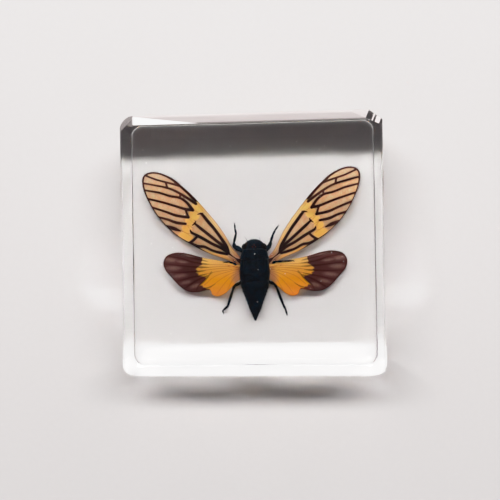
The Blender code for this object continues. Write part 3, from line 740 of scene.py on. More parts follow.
def ground_resin_and_glints(settings):
    """The same resin where the block was ground flat and not polished again: a milky strip
    that scatters most of the light that meets it, with fine scratches along it. Its white
    wedge and its milky corners are painted highlights, for the glints of the key light."""
    material, tree, shader = new_material("ground_cast_polyester_resin", 0.0, settings.ior)
    place = add(tree, "ShaderNodeTexCoord").outputs["Object"]
    streaks = add(tree, "ShaderNodeMapping", {"Vector": place, "Scale": (60.0, 900.0, 300.0)})
    scratches = add(tree, "ShaderNodeTexNoise", {"Vector": streaks.outputs[0], "Scale": 1.0,
                                                 "Detail": 3.0}).outputs[0]
    spot = add(tree, "ShaderNodeSeparateXYZ", {"Vector": place}).outputs
    inner = FRAME_HIGH.y - settings.ground_strip
    polish = add(tree, "ShaderNodeMapRange",
                 {"Value": spot["Y"], "From Min": inner + STRIP_FADE * MM, "From Max": inner,
                  "To Min": 0.45, "To Max": 1.0}, interpolation_type="SMOOTHSTEP").outputs[0]
    # a white wedge at the left end is a painted highlight, milky and narrowing to the right,
    # inside all its limits
    slope = add(tree, "ShaderNodeMath", {0: spot["X"], 1: HIGHLIGHT_WEDGE_SLOPE, 2: spot["Y"]},
                operation="MULTIPLY_ADD").outputs[0]
    highlight_wedge = 1.0
    for value, (outside, within) in zip((slope, spot["Y"], spot["X"]), HIGHLIGHT_WEDGE_LIMITS):
        highlight_wedge = add(tree, "ShaderNodeMapRange",
                    {"Value": value, "From Min": outside * MM, "From Max": within * MM,
                     "To Max": highlight_wedge}).outputs[0]
    # at both corners it reaches right across, milky on the right and half cleared on the left;
    # these milky corners are painted glints of the key light
    aside = add(tree, "ShaderNodeMath", {0: spot["X"]}, operation="ABSOLUTE").outputs[0]
    start, whole = CORNER_LIMITS
    corner = add(tree, "ShaderNodeMapRange", {"Value": aside, "From Min": start * MM,
                                              "From Max": whole * MM}).outputs[0]
    milky = add(tree, "ShaderNodeMapRange", {"Value": spot["X"], "From Max": MM,
                                             "To Min": 0.8, "To Max": 0.3}).outputs[0]
    polish = layered(tree, polish, (highlight_wedge, 0.1), (corner, milky), kind="FLOAT")
    haze = add(tree, "ShaderNodeMapRange", {"Value": polish, "From Min": 0.45,
                                            "To Min": 0.45, "To Max": 0.0}).outputs[0]
    dark, pale = (linear(colour) for colour in STRIP_COLOURS)
    # painted highlight: white over the wedge, where the key light glints
    colour = layered(tree, dark, (scratches, pale), (highlight_wedge, (1.0, 1.0, 1.0)))
    bump = add(tree, "ShaderNodeBump", {"Height": scratches, "Strength": 0.4,
                                        "Distance": 0.00003}).outputs[0]
    for value, name in ((colour, "Base Color"), (polish, "Transmission Weight"),
                        (haze, "Roughness"), (bump, "Normal")):
        tree.links.new(value, shader.inputs[name])
    tint_depth(tree, settings)
    return material


def tint_depth(tree, settings):
    """Gives the solid behind a resin surface its faint colour."""
    depth = add(tree, "ShaderNodeVolumeAbsorption",
                {"Color": settings.tint, "Density": settings.density})
    tree.links.new(depth.outputs[0], tree.nodes["Material Output"].inputs["Volume"])


def block_outline(inset, radius):
    """The block's outline from above, with its sides moved in and its corners rounded.
    Each point comes with how much it belongs to the side ahead of the head."""
    x, y = FRAME_HIGH.x - inset, FRAME_HIGH.y - inset
    corners = ((x, y), (-x, y), (-x, -y), (x, -y))
    outline = []
    for quarter, (x, y) in enumerate(corners):
        middle_x, middle_y = x - math.copysign(radius, x), y - math.copysign(radius, y)
        for step in range(CORNER_STEPS + 1):
            angle = math.pi / 2 * (quarter + step / CORNER_STEPS)
            outline.append((middle_x + radius * math.cos(angle),
                            middle_y + radius * math.sin(angle),
                            max(0.0, math.sin(angle)) ** 2))
    return outline


def quarter_round(radius, steps):
    """What is left of a radius across and up, at equal steps round a quarter turn."""
    for step in range(steps + 1):
        angle = math.pi / 2 * step / steps
        yield radius * (1 - math.sin(angle)), radius * (1 - math.cos(angle))


def block_mesh(settings):
    """The block as rings of its outline, from the rim of the underside to the top face."""
    rings = [(inset, FRAME_LOW.z + rise)
             for inset, rise in quarter_round(settings.bottom_round, BOTTOM_STEPS)]
    rings += [(inset, FRAME_HIGH.z - drop)
              for drop, inset in quarter_round(settings.top_round, TOP_STEPS)]
    edit = bmesh.new()
    loops = []
    for inset, level in rings:
        outline = block_outline(inset, settings.corner_radius - inset / 2)
        loops.append([edit.verts.new((x, y, level)) for x, y, _ in outline])
    inner = FRAME_HIGH.y - settings.ground_strip
    loops.append([edit.verts.new((x, y + share * (inner - y), FRAME_HIGH.z))
                  for x, y, share in outline])
    for low, high in zip(loops, loops[1:]):
        for index, corner in enumerate(low):
            after = (index + 1) % len(low)
            edit.faces.new((corner, low[after], high[after], high[index]))
    edit.faces.new(loops[0][::-1])
    edit.faces.new(loops[-1])
    bmesh.ops.recalc_face_normals(edit, faces=edit.faces)
    for face in edit.faces:
        _, y, z = face.calc_center_median()
        face.smooth = True
        face.material_index = int(y > inner and z > FRAME_HIGH.z - settings.top_round)
    for facet in CORNER_FACETS:
        grind_facet(edit, settings.corner_radius, **facet)
    data = bpy.data.meshes.new("resin_block")
    edit.to_mesh(data)
    edit.free()
    data.set_sharp_from_angle(angle=math.radians(SHARP_ANGLE))
    return data


def grind_facet(edit, corner_radius, side, azimuth, tilt, reach, milky_glint_first, changes):
    """Cuts a small flat facet on an upper corner, and parts it where its finish changes between
    clear and milky; the milky stretches are painted glints.
    """
    tilt, turn = math.radians(tilt), math.radians(azimuth)
    outward = Vector((math.cos(turn), math.sin(turn), 0.0))
    along = Vector((math.sin(turn), -math.cos(turn), 0.0))
    way = outward * math.sin(tilt) + Vector((0.0, 0.0, math.cos(tilt)))
    middle = Vector((side * (FRAME_HIGH.x - corner_radius), FRAME_HIGH.y - corner_radius,
                     FRAME_HIGH.z))
    cut = bmesh.ops.bisect_plane(edit, geom=[*edit.verts, *edit.edges, *edit.faces], dist=1e-9,
                                 plane_co=middle + outward * reach * MM, plane_no=way,
                                 clear_outer=True)
    rim = [part for part in cut["geom_cut"] if isinstance(part, bmesh.types.BMEdge)]
    faces = bmesh.ops.contextual_create(edit, geom=rim)["faces"]
    for change in changes:
        edges = {edge for face in faces for edge in face.edges}
        corners = {corner for face in faces for corner in face.verts}
        cut = bmesh.ops.bisect_plane(edit, geom=[*corners, *edges, *faces], dist=1e-9,
                                     plane_co=middle + along * change * MM, plane_no=along)
        faces = [part for part in cut["geom"] if isinstance(part, bmesh.types.BMFace)]
    for face in faces:
        place = (face.calc_center_median() - middle).dot(along) / MM
        face.smooth = False
        face.material_index = (milky_glint_first + sum(place > change for change in changes)) % 2
        if face.normal.dot(way) < 0:
            face.normal_flip()


class CICADA_OT_resin_block(Operator):
    """Casts the clear block around the insect"""
    bl_idname = "cicada.resin_block"
    bl_label = "Resin block"

    def execute(self, context):
        settings = context.scene.cicada_resin
        data = block_mesh(settings)
        # placing the piece leaves it one material, so its finishes, with the painted glints, are
        # given back after that
        finishes_and_glints = [face.material_index for face in data.polygons]
        place_piece("resin_block", data, cast_resin(settings), ("resin_lower", "resin_upper"))
        data.materials.append(ground_resin_and_glints(settings))
        data.polygons.foreach_set("material_index", finishes_and_glints)
        return {"FINISHED"}


class CICADA_OT_specks(Operator):
    """Catches dust and tiny bubbles in the resin"""
    bl_idname = "cicada.specks"
    bl_label = "Specks in the resin"

    def execute(self, context):
        settings = context.scene.cicada_resin
        # Dust and bubbles scatter light against the resin, so they show as pale matt dots
        material, _, shader = new_material("pale_dust_and_bubbles", 0.6, 1.1)
        shader.inputs["Base Color"].default_value = (*linear(SPECK_COLOUR), 1.0)
        draw = random.Random(7)
        reach_x, reach_y = FRAME_HIGH.x - SPECK_MARGIN * MM, FRAME_HIGH.y - SPECK_MARGIN * MM
        places = [tuple(part * MM for part in speck) for speck in SPECKS]
        for _ in range(settings.specks):
            places.append((draw.uniform(-reach_x, reach_x), draw.uniform(-reach_y, reach_y),
                           draw.uniform(*SPECK_HEIGHTS) * MM))
        made = grow(tiny_balls, point_mesh(places), material, size=SPECK_SIZE * MM, seed=3)
        place_piece("specks_in_resin", made, material)
        return {"FINISHED"}


# ---------------------------------------------------------------- wings

def wing_place(side, root_y, drop, angle, size):
    """The move from a wing's own millimetres to metres where it lies in the block."""
    mirror = Matrix.Diagonal((side * size * MM, size * MM, MM, 1))
    turn = Matrix.Rotation(math.radians(side * angle), 4, "Z")
    hinge = Vector((BODY_MIDDLE + side * WING_HINGE, root_y, WING_PLANE - drop)) * MM
    return Matrix.Translation(hinge) @ turn @ mirror


def wing_spots(outline, strokes, spacing):
    """Places of a wing's mesh points: its outline, rows along its strokes and a lattice.
    Hands back how many of them are the outline's too."""
    edge = smooth_path(outline, spacing, closed=True)[:, :2]
    spots = [tuple(spot) for spot in edge]
    for course in strokes:
        path = smooth_path(course, spacing)
        run = np.gradient(path[:, :2], axis=0)
        across = np.column_stack([-run[:, 1], run[:, 0]])
        across /= np.linalg.norm(across, axis=1)[:, None]
        for share in (0.0, 1.0, -1.0):
            spots += [tuple(spot) for spot in path[:, :2] + across * path[:, 2:3] * share]
    low, high = edge.min(axis=0), edge.max(axis=0)
    rise = spacing * math.sqrt(3) / 2
    for row in range(math.ceil((high[1] - low[1]) / rise)):
        start = low[0] + (row % 2) * spacing / 2
        spots += [(x, low[1] + row * rise) for x in np.arange(start, high[0], spacing)]
    spots = np.array(thinned(spots, 0.55 * spacing))
    inside = zone_field(spots, edge) < -0.4 * spacing
    inside[:len(edge)] = False
    return [tuple(spot) for spot in (*edge, *spots[inside])], len(edge)


def wing_shell(name, place, outline, strokes, settings, camber):
    """A wing as a thin closed shell with raised veins. Hands back its mesh, and the places
    of its points in the wing's own millimetres."""
    spots, edge_count = wing_spots(outline, strokes, settings.spacing / MM)
    loop = list(range(edge_count))
    flat, _, faces, *_ = geometry.delaunay_2d_cdt([Vector(spot) for spot in spots], [], [loop],
                                                  1, 1e-6)
    spots = np.array([tuple(spot) for spot in flat])
    edge = smooth_path(outline, TRACE_STEP, closed=True)
    rim, _ = stroke_field(spots, edge, closed=True)
    ridge = 0.7 * np.sqrt(np.clip(-rim / RIM_SLOPE, 0, 1))
    for course in strokes:
        _, back = stroke_field(spots, smooth_path(course, TRACE_STEP))
        widest = max(half for *_, half in course)
        ridge = np.maximum(ridge, back * min(1.0, 0.35 + widest * 1.4))
    half = settings.membrane / MM / 2 + ridge * settings.vein_rise / MM
    edge[:, 2] = 0
    edge_away, _ = stroke_field(spots, edge, closed=True)
    half = half * np.sqrt(np.clip(edge_away / EDGE_ROUND, 0, 1))
    middle = camber(spots[:, 0], spots[:, 1])
    # the two faces of the wing share the points of its edge
    top = [place @ Vector((x, y, m + h)) for (x, y), m, h in zip(spots, middle, half)]
    under = [place @ Vector((x, y, m - h)) for (x, y), m, h in zip(spots, middle, half)]
    inner = np.flatnonzero(edge_away >= 1e-4)
    lower = np.arange(len(spots))
    lower[inner] = len(spots) + np.arange(len(inner))
    sheets = [tuple(face) for face in faces]
    sheets += [tuple(int(lower[corner]) for corner in reversed(face)) for face in faces]
    data = new_mesh(name, top + [under[index] for index in inner], sheets)
    return data, np.vstack([spots, spots[inner]])


def wing_uv(data, spots):
    """A UV map that runs along and across the wing."""
    layer = data.uv_layers.new(name="wing")
    corners = np.empty(len(data.loops), dtype=np.int32)
    data.loops.foreach_get("vertex_index", corners)
    places = spots[corners] / WING_UV_SPAN + 0.5
    layer.data.foreach_set("uv", places.astype(np.float32).ravel())


def lobe_field(spots, lobe):
    """About the distance from each spot to the edge of a tilted ellipse."""
    x, y, length, width, tilt = lobe
    turn = math.radians(tilt)
    u = (spots[:, 0] - x) * math.cos(turn) + (spots[:, 1] - y) * math.sin(turn)
    v = (spots[:, 1] - y) * math.cos(turn) - (spots[:, 0] - x) * math.sin(turn)
    return (np.hypot(u / length, v / width) - 1) * min(length, width)


def nearest_stroke(spots, courses):
    """Signed distance to the nearest of several strokes."""
    return np.min([stroke_field(spots, smooth_path(course, TRACE_STEP))[0]
                   for course in courses], axis=0)


def rim_reach(spots, outline):
    """Signed distance to the dark rim, which lies inside the outline."""
    edge = smooth_path(outline, TRACE_STEP, closed=True)
    return stroke_field(spots, edge, closed=True)[0]


def membrane_material(name):
    """What both pairs of wings share: a dry, slightly glossy film of chitin that light passes
    through. It is sealed in resin of nearly its own refractive index, so it hardly shines.
    Hands back its UV place and its zones as well."""
    material, tree, shader = new_material(name, 0.45, 1.12)
    shader.inputs["Transmission Weight"].default_value = 0.4
    uv = add(tree, "ShaderNodeUVMap", uv_map="wing").outputs[0]
    creases = add(tree, "ShaderNodeTexNoise", {"Vector": uv, "Scale": 60.0, "Detail": 3.0})
    bump = add(tree, "ShaderNodeBump", {"Height": creases.outputs[0], "Strength": 0.5,
                                        "Distance": 0.00003})
    tree.links.new(bump.outputs[0], shader.inputs["Normal"])
    zones = add(tree, "ShaderNodeAttribute", attribute_name="zones").outputs["Color"]
    return material, tree, shader, uv, add(tree, "ShaderNodeSeparateColor",
                                           {"Color": zones}).outputs


def drawn(tree, name, softness, strength=1.0):
    """How strongly a line or a patch is drawn at a point, from the signed distance that an
    attribute keeps: at full strength inside, not at all outside, with a soft step between."""
    reach = add(tree, "ShaderNodeAttribute", attribute_name=name).outputs["Fac"]
    return add(tree, "ShaderNodeMapRange",
               {"Value": reach, "From Min": softness, "From Max": -softness,
                "To Max": strength}, interpolation_type="SMOOTHSTEP").outputs["Result"]


def forewing_material(settings):
    """Forewing membrane: dried chitin film, smoky tan with a fine grain, a bright yellow
    band, straw and orange strips, and nearly black veins. Its grain, about 0.1 mm in the real
    film, is drawn 0.3 mm wide so that it shows."""
    material, tree, shader, uv, part = membrane_material("dried_forewing_membrane")
    grain = add(tree, "ShaderNodeTexNoise", {"Vector": uv, "Scale": 130.0, "Detail": 3.0,
                                             "Roughness": 0.65})
    clouds = add(tree, "ShaderNodeTexNoise", {"Vector": uv, "Scale": 30.0, "Detail": 2.0})
    speckle = add(tree, "ShaderNodeMath", {0: grain.outputs[0], 1: clouds.outputs[0]},
                  operation="MULTIPLY")
    pale = add(tree, "ShaderNodeMapRange", {"Value": speckle.outputs[0], "From Min": 0.16,
                                            "From Max": 0.38}).outputs[0]
    spot = add(tree, "ShaderNodeSeparateXYZ", {"Vector": uv}).outputs
    rear = add(tree, "ShaderNodeMapRange", {"Value": spot["Y"], "From Min": 0.62,
                                            "From Max": 0.36}).outputs[0]
    towards_tip = add(tree, "ShaderNodeMapRange", {"Value": spot["X"], "From Min": 0.9,
                                                   "From Max": 1.15}).outputs[0]
    strip = layered(tree, settings.straw, (rear, settings.amber))
    band = layered(tree, settings.band, (rear, settings.band_deep))
    ink = layered(tree, settings.vein, (towards_tip, settings.vein_brown))
    nerve = drawn(tree, "nerve", 0.07, 0.55)
    vein = drawn(tree, "vein", 0.10)
    away = add(tree, "ShaderNodeAttribute", attribute_name="vein").outputs["Fac"]
    halo = add(tree, "ShaderNodeMapRange", {"Value": away, "From Min": 0.5, "From Max": 0.0,
                                            "To Max": 0.45}).outputs[0]
    colour = layered(tree, settings.tan_dark, (pale, settings.tan), (part["Red"], strip),
                     (part["Green"], band), (part["Blue"], settings.rust),
                     (nerve, settings.rust), (halo, settings.tan_dark), (vein, ink))
    stopped = layered(tree, 0.52, (part["Red"], 0.72), (part["Green"], 0.8), (vein, 1.0),
                      kind="FLOAT")
    tree.links.new(colour, shader.inputs["Base Color"])
    tree.links.new(stopped, shader.inputs["Alpha"])
    return material


def hindwing_material(settings):
    """Hindwing membrane: the same film, opaque orange inside and dark brown outside, with
    paler windows between its fine veins."""
    material, tree, shader, uv, part = membrane_material("dried_hindwing_membrane")
    spot = add(tree, "ShaderNodeSeparateXYZ", {"Vector": uv}).outputs
    front = add(tree, "ShaderNodeMapRange", {"Value": spot["Y"], "From Min": 0.42,
                                             "From Max": 0.58}).outputs[0]
    rear = add(tree, "ShaderNodeMapRange", {"Value": spot["Y"], "From Min": 0.40,
                                            "From Max": 0.28}).outputs[0]
    orange = layered(tree, settings.orange, (front, settings.orange_pale),
                     (rear, settings.orange_deep), (part["Green"], settings.fold),
                     (drawn(tree, "nerve", 0.08, 0.75), settings.rust))
    grain = add(tree, "ShaderNodeTexNoise", {"Vector": uv, "Scale": 70.0, "Detail": 3.0})
    windows = add(tree, "ShaderNodeMath", {0: part["Red"], 1: grain.outputs[0]},
                  operation="MULTIPLY")
    windows = add(tree, "ShaderNodeMath", {0: windows.outputs[0], 1: 2.2},
                  operation="MULTIPLY", use_clamp=True)
    brown = layered(tree, settings.dusk, (windows.outputs[0], settings.dusk_pale))
    dusk = drawn(tree, "dusk", 0.14)
    colour = layered(tree, orange, (dusk, brown),
                     (drawn(tree, "vein", 0.2, 0.8), settings.vein_brown))
    stopped = layered(tree, 0.85, (dusk, 0.92), (part["Green"], 0.6), kind="FLOAT")
    tree.links.new(colour, shader.inputs["Base Color"])
    tree.links.new(stopped, shader.inputs["Alpha"])
    return material


def hair_material(name, colour):
    """Insect hair: fine tapered chitin, dull where it is sealed in resin."""
    material, tree, shader = new_material(name, 0.6, 1.15)
    mottle(tree, shader, colour, 0.5, 900.0)
    return material


def forewing_camber(along, across):
    """The forewing arches a little between its root and its tip."""
    return 0.30 * np.sin(np.clip(along / 38.8, 0, 1) * math.pi) - 0.004 * across ** 2


def hindwing_camber(along, across):
    """The hindwing is fluted lightly, fanwise from its root."""
    turn = np.arctan2(across, along + 4.0)
    return 0.07 * np.sin(turn * 26) * soft_step(along, 2, 9) - 0.1


def forewing_drawing(spots):
    """The forewing's veins, nerves and zones: strips red, band green, rust blue."""
    veins = nearest_stroke(spots, FOREWING_VEINS) - VEIN_STAIN
    lobes = np.sort([lobe_field(spots, lobe) for lobe in BAND_LOBES], axis=0)
    # a thin seam runs where two lobes of the band meet
    seams = np.where(lobes[1] < 0.4, lobes[1] - lobes[0] - 0.16, 1.0)
    strips = np.minimum(zone_field(spots, COSTAL_STRIP), zone_field(spots, CLAVAL_STRIP))
    rust = (1 - soft_step(spots[:, 0], 0.5, 4.5)
            + 0.5 * (1 - soft_step(zone_field(spots, DARK_CLOUD), -0.2, 0.4)))
    zones = np.column_stack([1 - soft_step(strips, -0.1, 0.2),
                             1 - soft_step(lobes[0], -0.2, 0.25), rust, np.ones(len(spots))])
    return {"vein": np.minimum(veins, rim_reach(spots, FOREWING_OUTLINE)),
            "nerve": np.minimum(nearest_stroke(spots, FOREWING_NERVES), seams),
            "zones": np.clip(zones, 0, 1)}


def hindwing_drawing(spots):
    """The hindwing's veins, nerves, dark part and zones: windows red, fold green."""
    windows = np.zeros(len(spots))
    for x, y, length, width in PALE_WINDOWS:
        tilt = math.degrees(math.atan2(y, x + 2.0))
        away = lobe_field(spots, (x, y, length, width, tilt)) / width
        windows = np.maximum(windows, 1 - soft_step(away, -1.0, 0.8))
    fold = 1 - soft_step(zone_field(spots, CLEAR_FOLD), -1.4, 0.9)
    return {"vein": np.minimum(nearest_stroke(spots, HINDWING_VEINS),
                               rim_reach(spots, HINDWING_OUTLINE)),
            "nerve": nearest_stroke(spots, HINDWING_NERVES),
            "dusk": zone_field(spots, DUSKY_PART),
            "zones": np.column_stack([windows, fold, np.zeros(len(spots)),
                                      np.ones(len(spots))])}


class WingKind(NamedTuple):
    """What sets the two pairs of wings apart."""
    name: str
    outline: tuple
    strokes: tuple
    camber: Callable
    drawing: Callable
    fringe: tuple             # from and to which point of the outline it carries hair
    hair_length: float        # millimetres
    seed: int


FOREWING = WingKind("forewing", FOREWING_OUTLINE, FOREWING_VEINS + FOREWING_NERVES,
                    forewing_camber, forewing_drawing, (8.0, 18.0), 0.6, 11)
HINDWING = WingKind("hindwing", HINDWING_OUTLINE, HINDWING_VEINS + HINDWING_NERVES,
                    hindwing_camber, hindwing_drawing, (6.0, 16.0), 0.55, 21)


def fringe_mesh(wing, place):
    """Points along part of a wing's outline, each with the way out of the wing."""
    edge = smooth_path(wing.outline, FRINGE_GAP, closed=True)[:, :2]
    run = np.roll(edge, -1, axis=0) - np.roll(edge, 1, axis=0)
    outward = np.column_stack([-run[:, 1], run[:, 0]])
    start, end = wing.fringe
    share = np.arange(len(edge)) / len(edge) * len(wing.outline)
    keep = (share >= start) & (share <= end)
    turn = place.to_3x3()
    return point_mesh([place @ Vector((x, y, wing.camber(x, y))) for x, y in edge[keep]],
                      [(turn @ Vector((x, y, 0.0))).normalized() for x, y in outward[keep]])


def spread_wing(wing, side_name, side, place, membrane, hair, settings):
    """One wing with its drawing kept on its points, and the hair along its edge."""
    name = f"{wing.name}_{side_name}"
    data, spots = wing_shell(name, place, wing.outline, wing.strokes, settings, wing.camber)
    for field, values in wing.drawing(spots).items():
        store(data, field, values, "FLOAT" if values.ndim == 1 else "FLOAT_COLOR")
    wing_uv(data, spots)
    place_piece(name, data, membrane)
    fringe = grow(bristle_row, fringe_mesh(wing, place), hair, length=wing.hair_length * MM,
                  thickness=FRINGE_THICKNESS * MM, lean=0.35, seed=wing.seed + side)
    place_piece(f"{wing.name}_fringe_{side_name}", fringe, hair)


class CICADA_OT_wings(Operator):
    """Spreads the four wings and sets the hair along their edges"""
    bl_idname = "cicada.wings"
    bl_label = "Wings"

    def execute(self, context):
        settings = context.scene.cicada_wings
        fore, hind = forewing_material(settings), hindwing_material(settings)
        hair = hair_material("pale_wing_fringe", context.scene.cicada_body.fringe)
        for name, side, angle, size in FOREWING_SETS:
            place = wing_place(side, FOREWING_ROOT_Y, 0.0, angle, size)
            spread_wing(FOREWING, name, side, place, fore, hair, settings)
        for name, side in SIDES:
            place = wing_place(side, HINDWING_ROOT_Y, HINDWING_DROP, 0.0, 1.0)
            spread_wing(HINDWING, name, side, place, hind, hair, settings)
        return {"FINISHED"}


# ---------------------------------------------------------------- body

def skin(name, sections, relief):
    """A closed loft through sections of the body, with a relief in millimetres laid on it."""
    rows = smooth_path(sections, SKIN_STEP)
    rows[:, 1:] = np.maximum(rows[:, 1:], THINNEST)
    y, width, rise, depth = (rows[:, [column]] for column in range(4))
    angles = np.arange(SKIN_COLUMNS) / SKIN_COLUMNS * math.tau
    cosine, sine = np.cos(angles)[None], np.sin(angles)[None]
    height = np.where(sine > 0, rise, depth)
    x, z = width * cosine, height * sine
    y = np.broadcast_to(y, x.shape)
    way = np.stack([cosine / width, np.zeros_like(x), sine / height], axis=-1)
    way /= np.linalg.norm(way, axis=-1, keepdims=True)
    # the relief fades where the body narrows to less than 1 mm each way
    shift = relief(x, y, np.broadcast_to(sine, x.shape)) * np.clip(width, 0, 1)
    points = np.stack([x + BODY_MIDDLE, y, z + WING_PLANE], axis=-1) + way * shift[..., None]
    flat = list((points * MM).reshape(-1, 3))
    following = [(column + 1) % SKIN_COLUMNS for column in range(SKIN_COLUMNS)]
    faces = []
    for ring in range(len(rows) - 1):
        low, high = ring * SKIN_COLUMNS, (ring + 1) * SKIN_COLUMNS
        faces += [(low + column, low + after, high + after, high + column)
                  for column, after in enumerate(following)]
    for ring in (0, len(rows) - 1):
        low, centre = ring * SKIN_COLUMNS, len(flat)
        flat.append(points[ring].mean(axis=0) * MM)
        faces += [(low + column, low + after, centre) for column, after in enumerate(following)]
    return new_mesh(name, flat, faces)


def mirrored(courses):
    """The courses of the right half and their mirror images."""
    return [[(side * x, y, half) for x, y, half in course]
            for course in courses for side in (1, -1)]


def swell(values, middle, width):
    """A soft ridge, 1 high where the values pass the middle."""
    return np.exp(-((values - middle) / width) ** 2)


def head_relief(x, y, sine):
    """Ribs across the swollen face below, a fine groove along the crown and low brows. The
    sine is positive on the insect's back and negative below, in all three reliefs."""
    below = soft_step(-sine, 0.1, 0.5) * (1 - soft_step(np.abs(x), 1.2, 1.7))
    ribs = 0.05 * np.sin(y * math.tau / 0.42 + 2 * np.abs(x)) * below
    groove = -0.08 * swell(x, 0.0, 0.12) * soft_step(-y, 0.2, 1.0)
    brow = 0.12 * swell(np.abs(x), 1.75, 0.35) * swell(y, 0.1, 0.5)
    return ribs + (groove + brow) * (sine > 0)


def thorax_relief(x, y, sine):
    """Furrows of the front and middle plates, the raised cross behind them, the collar
    between the plates, and the joints of the side plates."""
    spots = np.column_stack([x.ravel(), y.ravel()])
    shift = np.zeros(len(spots))
    for course in mirrored(THORAX_FURROWS):
        # a furrow is wider than its drawn line, with soft sides
        _, back = stroke_field(spots, smooth_path(course, 0.25) * (1, 1, 2.2))
        shift = np.minimum(shift, -0.13 * back ** 1.5)
    for course in mirrored(THORAX_CROSS):
        _, back = stroke_field(spots, smooth_path(course, 0.25))
        shift = np.where(back > 0, np.maximum(shift, 0.30 * back), shift)
    collar = 0.10 * swell(y, -4.35, 0.20)
    sides = -0.14 * swell(sine, -0.35, 0.07)
    side_joints = -0.12 * swell(np.mod(-y + 0.8, 2.9), 1.45, 0.12)
    return ((shift.reshape(x.shape) + collar) * (sine > 0) + sides
            + side_joints * soft_step(-sine, 0.2, 0.4))


def abdomen_relief(x, y, sine):
    """Nine overlapping rings, each with a thickened rear rim, and the fold between the
    back plates and the belly plates."""
    length = (ABDOMEN_FRONT - ABDOMEN_REAR) / ABDOMEN_RINGS
    phase = np.mod((ABDOMEN_FRONT - y) / length, 1.0)
    rings = -0.18 + 0.18 * soft_step(phase, 0.0, 0.10) + 0.12 * soft_step(phase, 0.55, 0.92)
    return rings * (y < ABDOMEN_FRONT + 0.3) - 0.14 * swell(sine, -0.28, 0.09)


def cuticle_material(settings):
    """Cuticle: black tanned chitin, dried. Fine pits about 0.09 mm apart roughen it, it is a
    little browner in soft patches at random, and the resin round it takes most of its shine."""
    material, tree, shader = new_material("black_dried_cuticle", 0.32, 1.1)
    place = add(tree, "ShaderNodeTexCoord").outputs["Object"]
    clouds = add(tree, "ShaderNodeTexNoise", {"Vector": place, "Scale": 700.0, "Detail": 4.0})
    warm = add(tree, "ShaderNodeMapRange", {"Value": clouds.outputs[0], "From Min": 0.45,
                                            "From Max": 0.72}).outputs[0]
    tree.links.new(layered(tree, settings.cuticle, (warm, settings.cuticle_warm)),
                   shader.inputs["Base Color"])
    pits = add(tree, "ShaderNodeTexVoronoi", {"Vector": place, "Scale": 11000.0})
    bump = add(tree, "ShaderNodeBump", {"Height": pits.outputs["Distance"], "Strength": 0.7,
                                        "Distance": 0.00002})
    tree.links.new(bump.outputs[0], shader.inputs["Normal"])
    return material


def eye_material(settings):
    """Compound eye: thousands of facets 0.03 mm wide, drawn 0.08 mm wide so that they show."""
    material, tree, shader = new_material("faceted_compound_eye", 0.25, 1.2)
    place = add(tree, "ShaderNodeTexCoord").outputs["Object"]
    facets = add(tree, "ShaderNodeTexVoronoi", {"Vector": place, "Scale": 12500.0})
    away = facets.outputs["Distance"]
    tree.links.new(layered(tree, settings.eye, (away, darker(settings.eye, 0.4))),
                   shader.inputs["Base Color"])
    bump = add(tree, "ShaderNodeBump", {"Height": away, "Distance": 0.00003}, invert=True)
    tree.links.new(bump.outputs[0], shader.inputs["Normal"])
    return material


def ocellus_material(settings):
    """Ocellus: one glassy red-brown lens, with the paler and darker spots of dried tissue."""
    material, tree, shader = new_material("red_brown_ocellus", 0.2, 1.15)
    mottle(tree, shader, settings.ocellus, 0.4, 4000.0)
    return material


def ball(place, radius, flatten, detail):
    """A ball in millimetres from the insect's middle and the plane of the wings."""
    edit = bmesh.new()
    bmesh.ops.create_uvsphere(edit, u_segments=detail, v_segments=detail // 2, radius=1.0)
    centre = Vector((BODY_MIDDLE, 0.0, WING_PLANE)) + Vector(place)
    for vertex in edit.verts:
        stretched = Vector(a * b for a, b in zip(vertex.co, flatten))
        vertex.co = (centre + stretched * radius) * MM
    data = bpy.data.meshes.new("ball")
    edit.to_mesh(data)
    edit.free()
    return data


def jointed(points, pinch, parts=6):
    """Rows of place and thickness along a limb. Each stretch between joints swells in its
    middle, and the limb tapers at its end."""
    rows = []
    for start, end in zip(points, points[1:]):
        for part in range(parts):
            t = part / parts
            *place, size = (a + (b - a) * t for a, b in zip(start, end))
            rows.append((*place, size * (1 - pinch + 2 * pinch * math.sin(math.pi * t))))
    *place, size = points[-1]
    return [*rows, (*place, size * 0.6)]


def limb_mesh(rows, material, step=LIMB_STEP, sides=LIMB_SIDES):
    """A smooth round limb along rows of place and thickness."""
    data = bpy.data.meshes.new("chain")
    data.from_pydata([(x * MM, y * MM, (WING_PLANE + z) * MM) for x, y, z, _ in rows],
                     [(index, index + 1) for index in range(len(rows) - 1)], [])
    store(data, "thickness", [size * MM for *_, size in rows])
    made = grow(round_limb, data, material, step=step * MM, sides=sides)
    made.shade_smooth()
    return made


def sideways(along):
    """The level way at a right angle to another way."""
    return along.cross(Vector((0, 0, 1))).normalized()


def spine_points(shin, draw):
    """Places of the spines along a leg's shin, each with the way it points."""
    start, end = (Vector(point[:3]) for point in shin)
    along = (end - start).normalized()
    places, ways = [], []
    for index in range(SPINES):
        way = sideways(along) * (1 if index % 2 else -1) + along * 0.9
        way = (way + Vector((0, 0, draw.uniform(-1, 1)))).normalized()
        centre = start.lerp(end, (index + 0.6) / SPINES)
        places.append((centre + way * 0.12 + Vector((0, 0, WING_PLANE))) * MM)
        ways.append(way)
    return point_mesh(places, ways)


def claws(points, material):
    """Two hooked claws at the end of a foot."""
    before, tip = (Vector(point[:3]) for point in points[-2:])
    along = (tip - before).normalized()
    meshes = []
    for way in (1, -1):
        rows = [(*(tip + along * ahead + sideways(along) * aside * way), size)
                for ahead, aside, size in CLAW]
        meshes.append(limb_mesh(rows, material, FINE_STEP, 8))
    return meshes


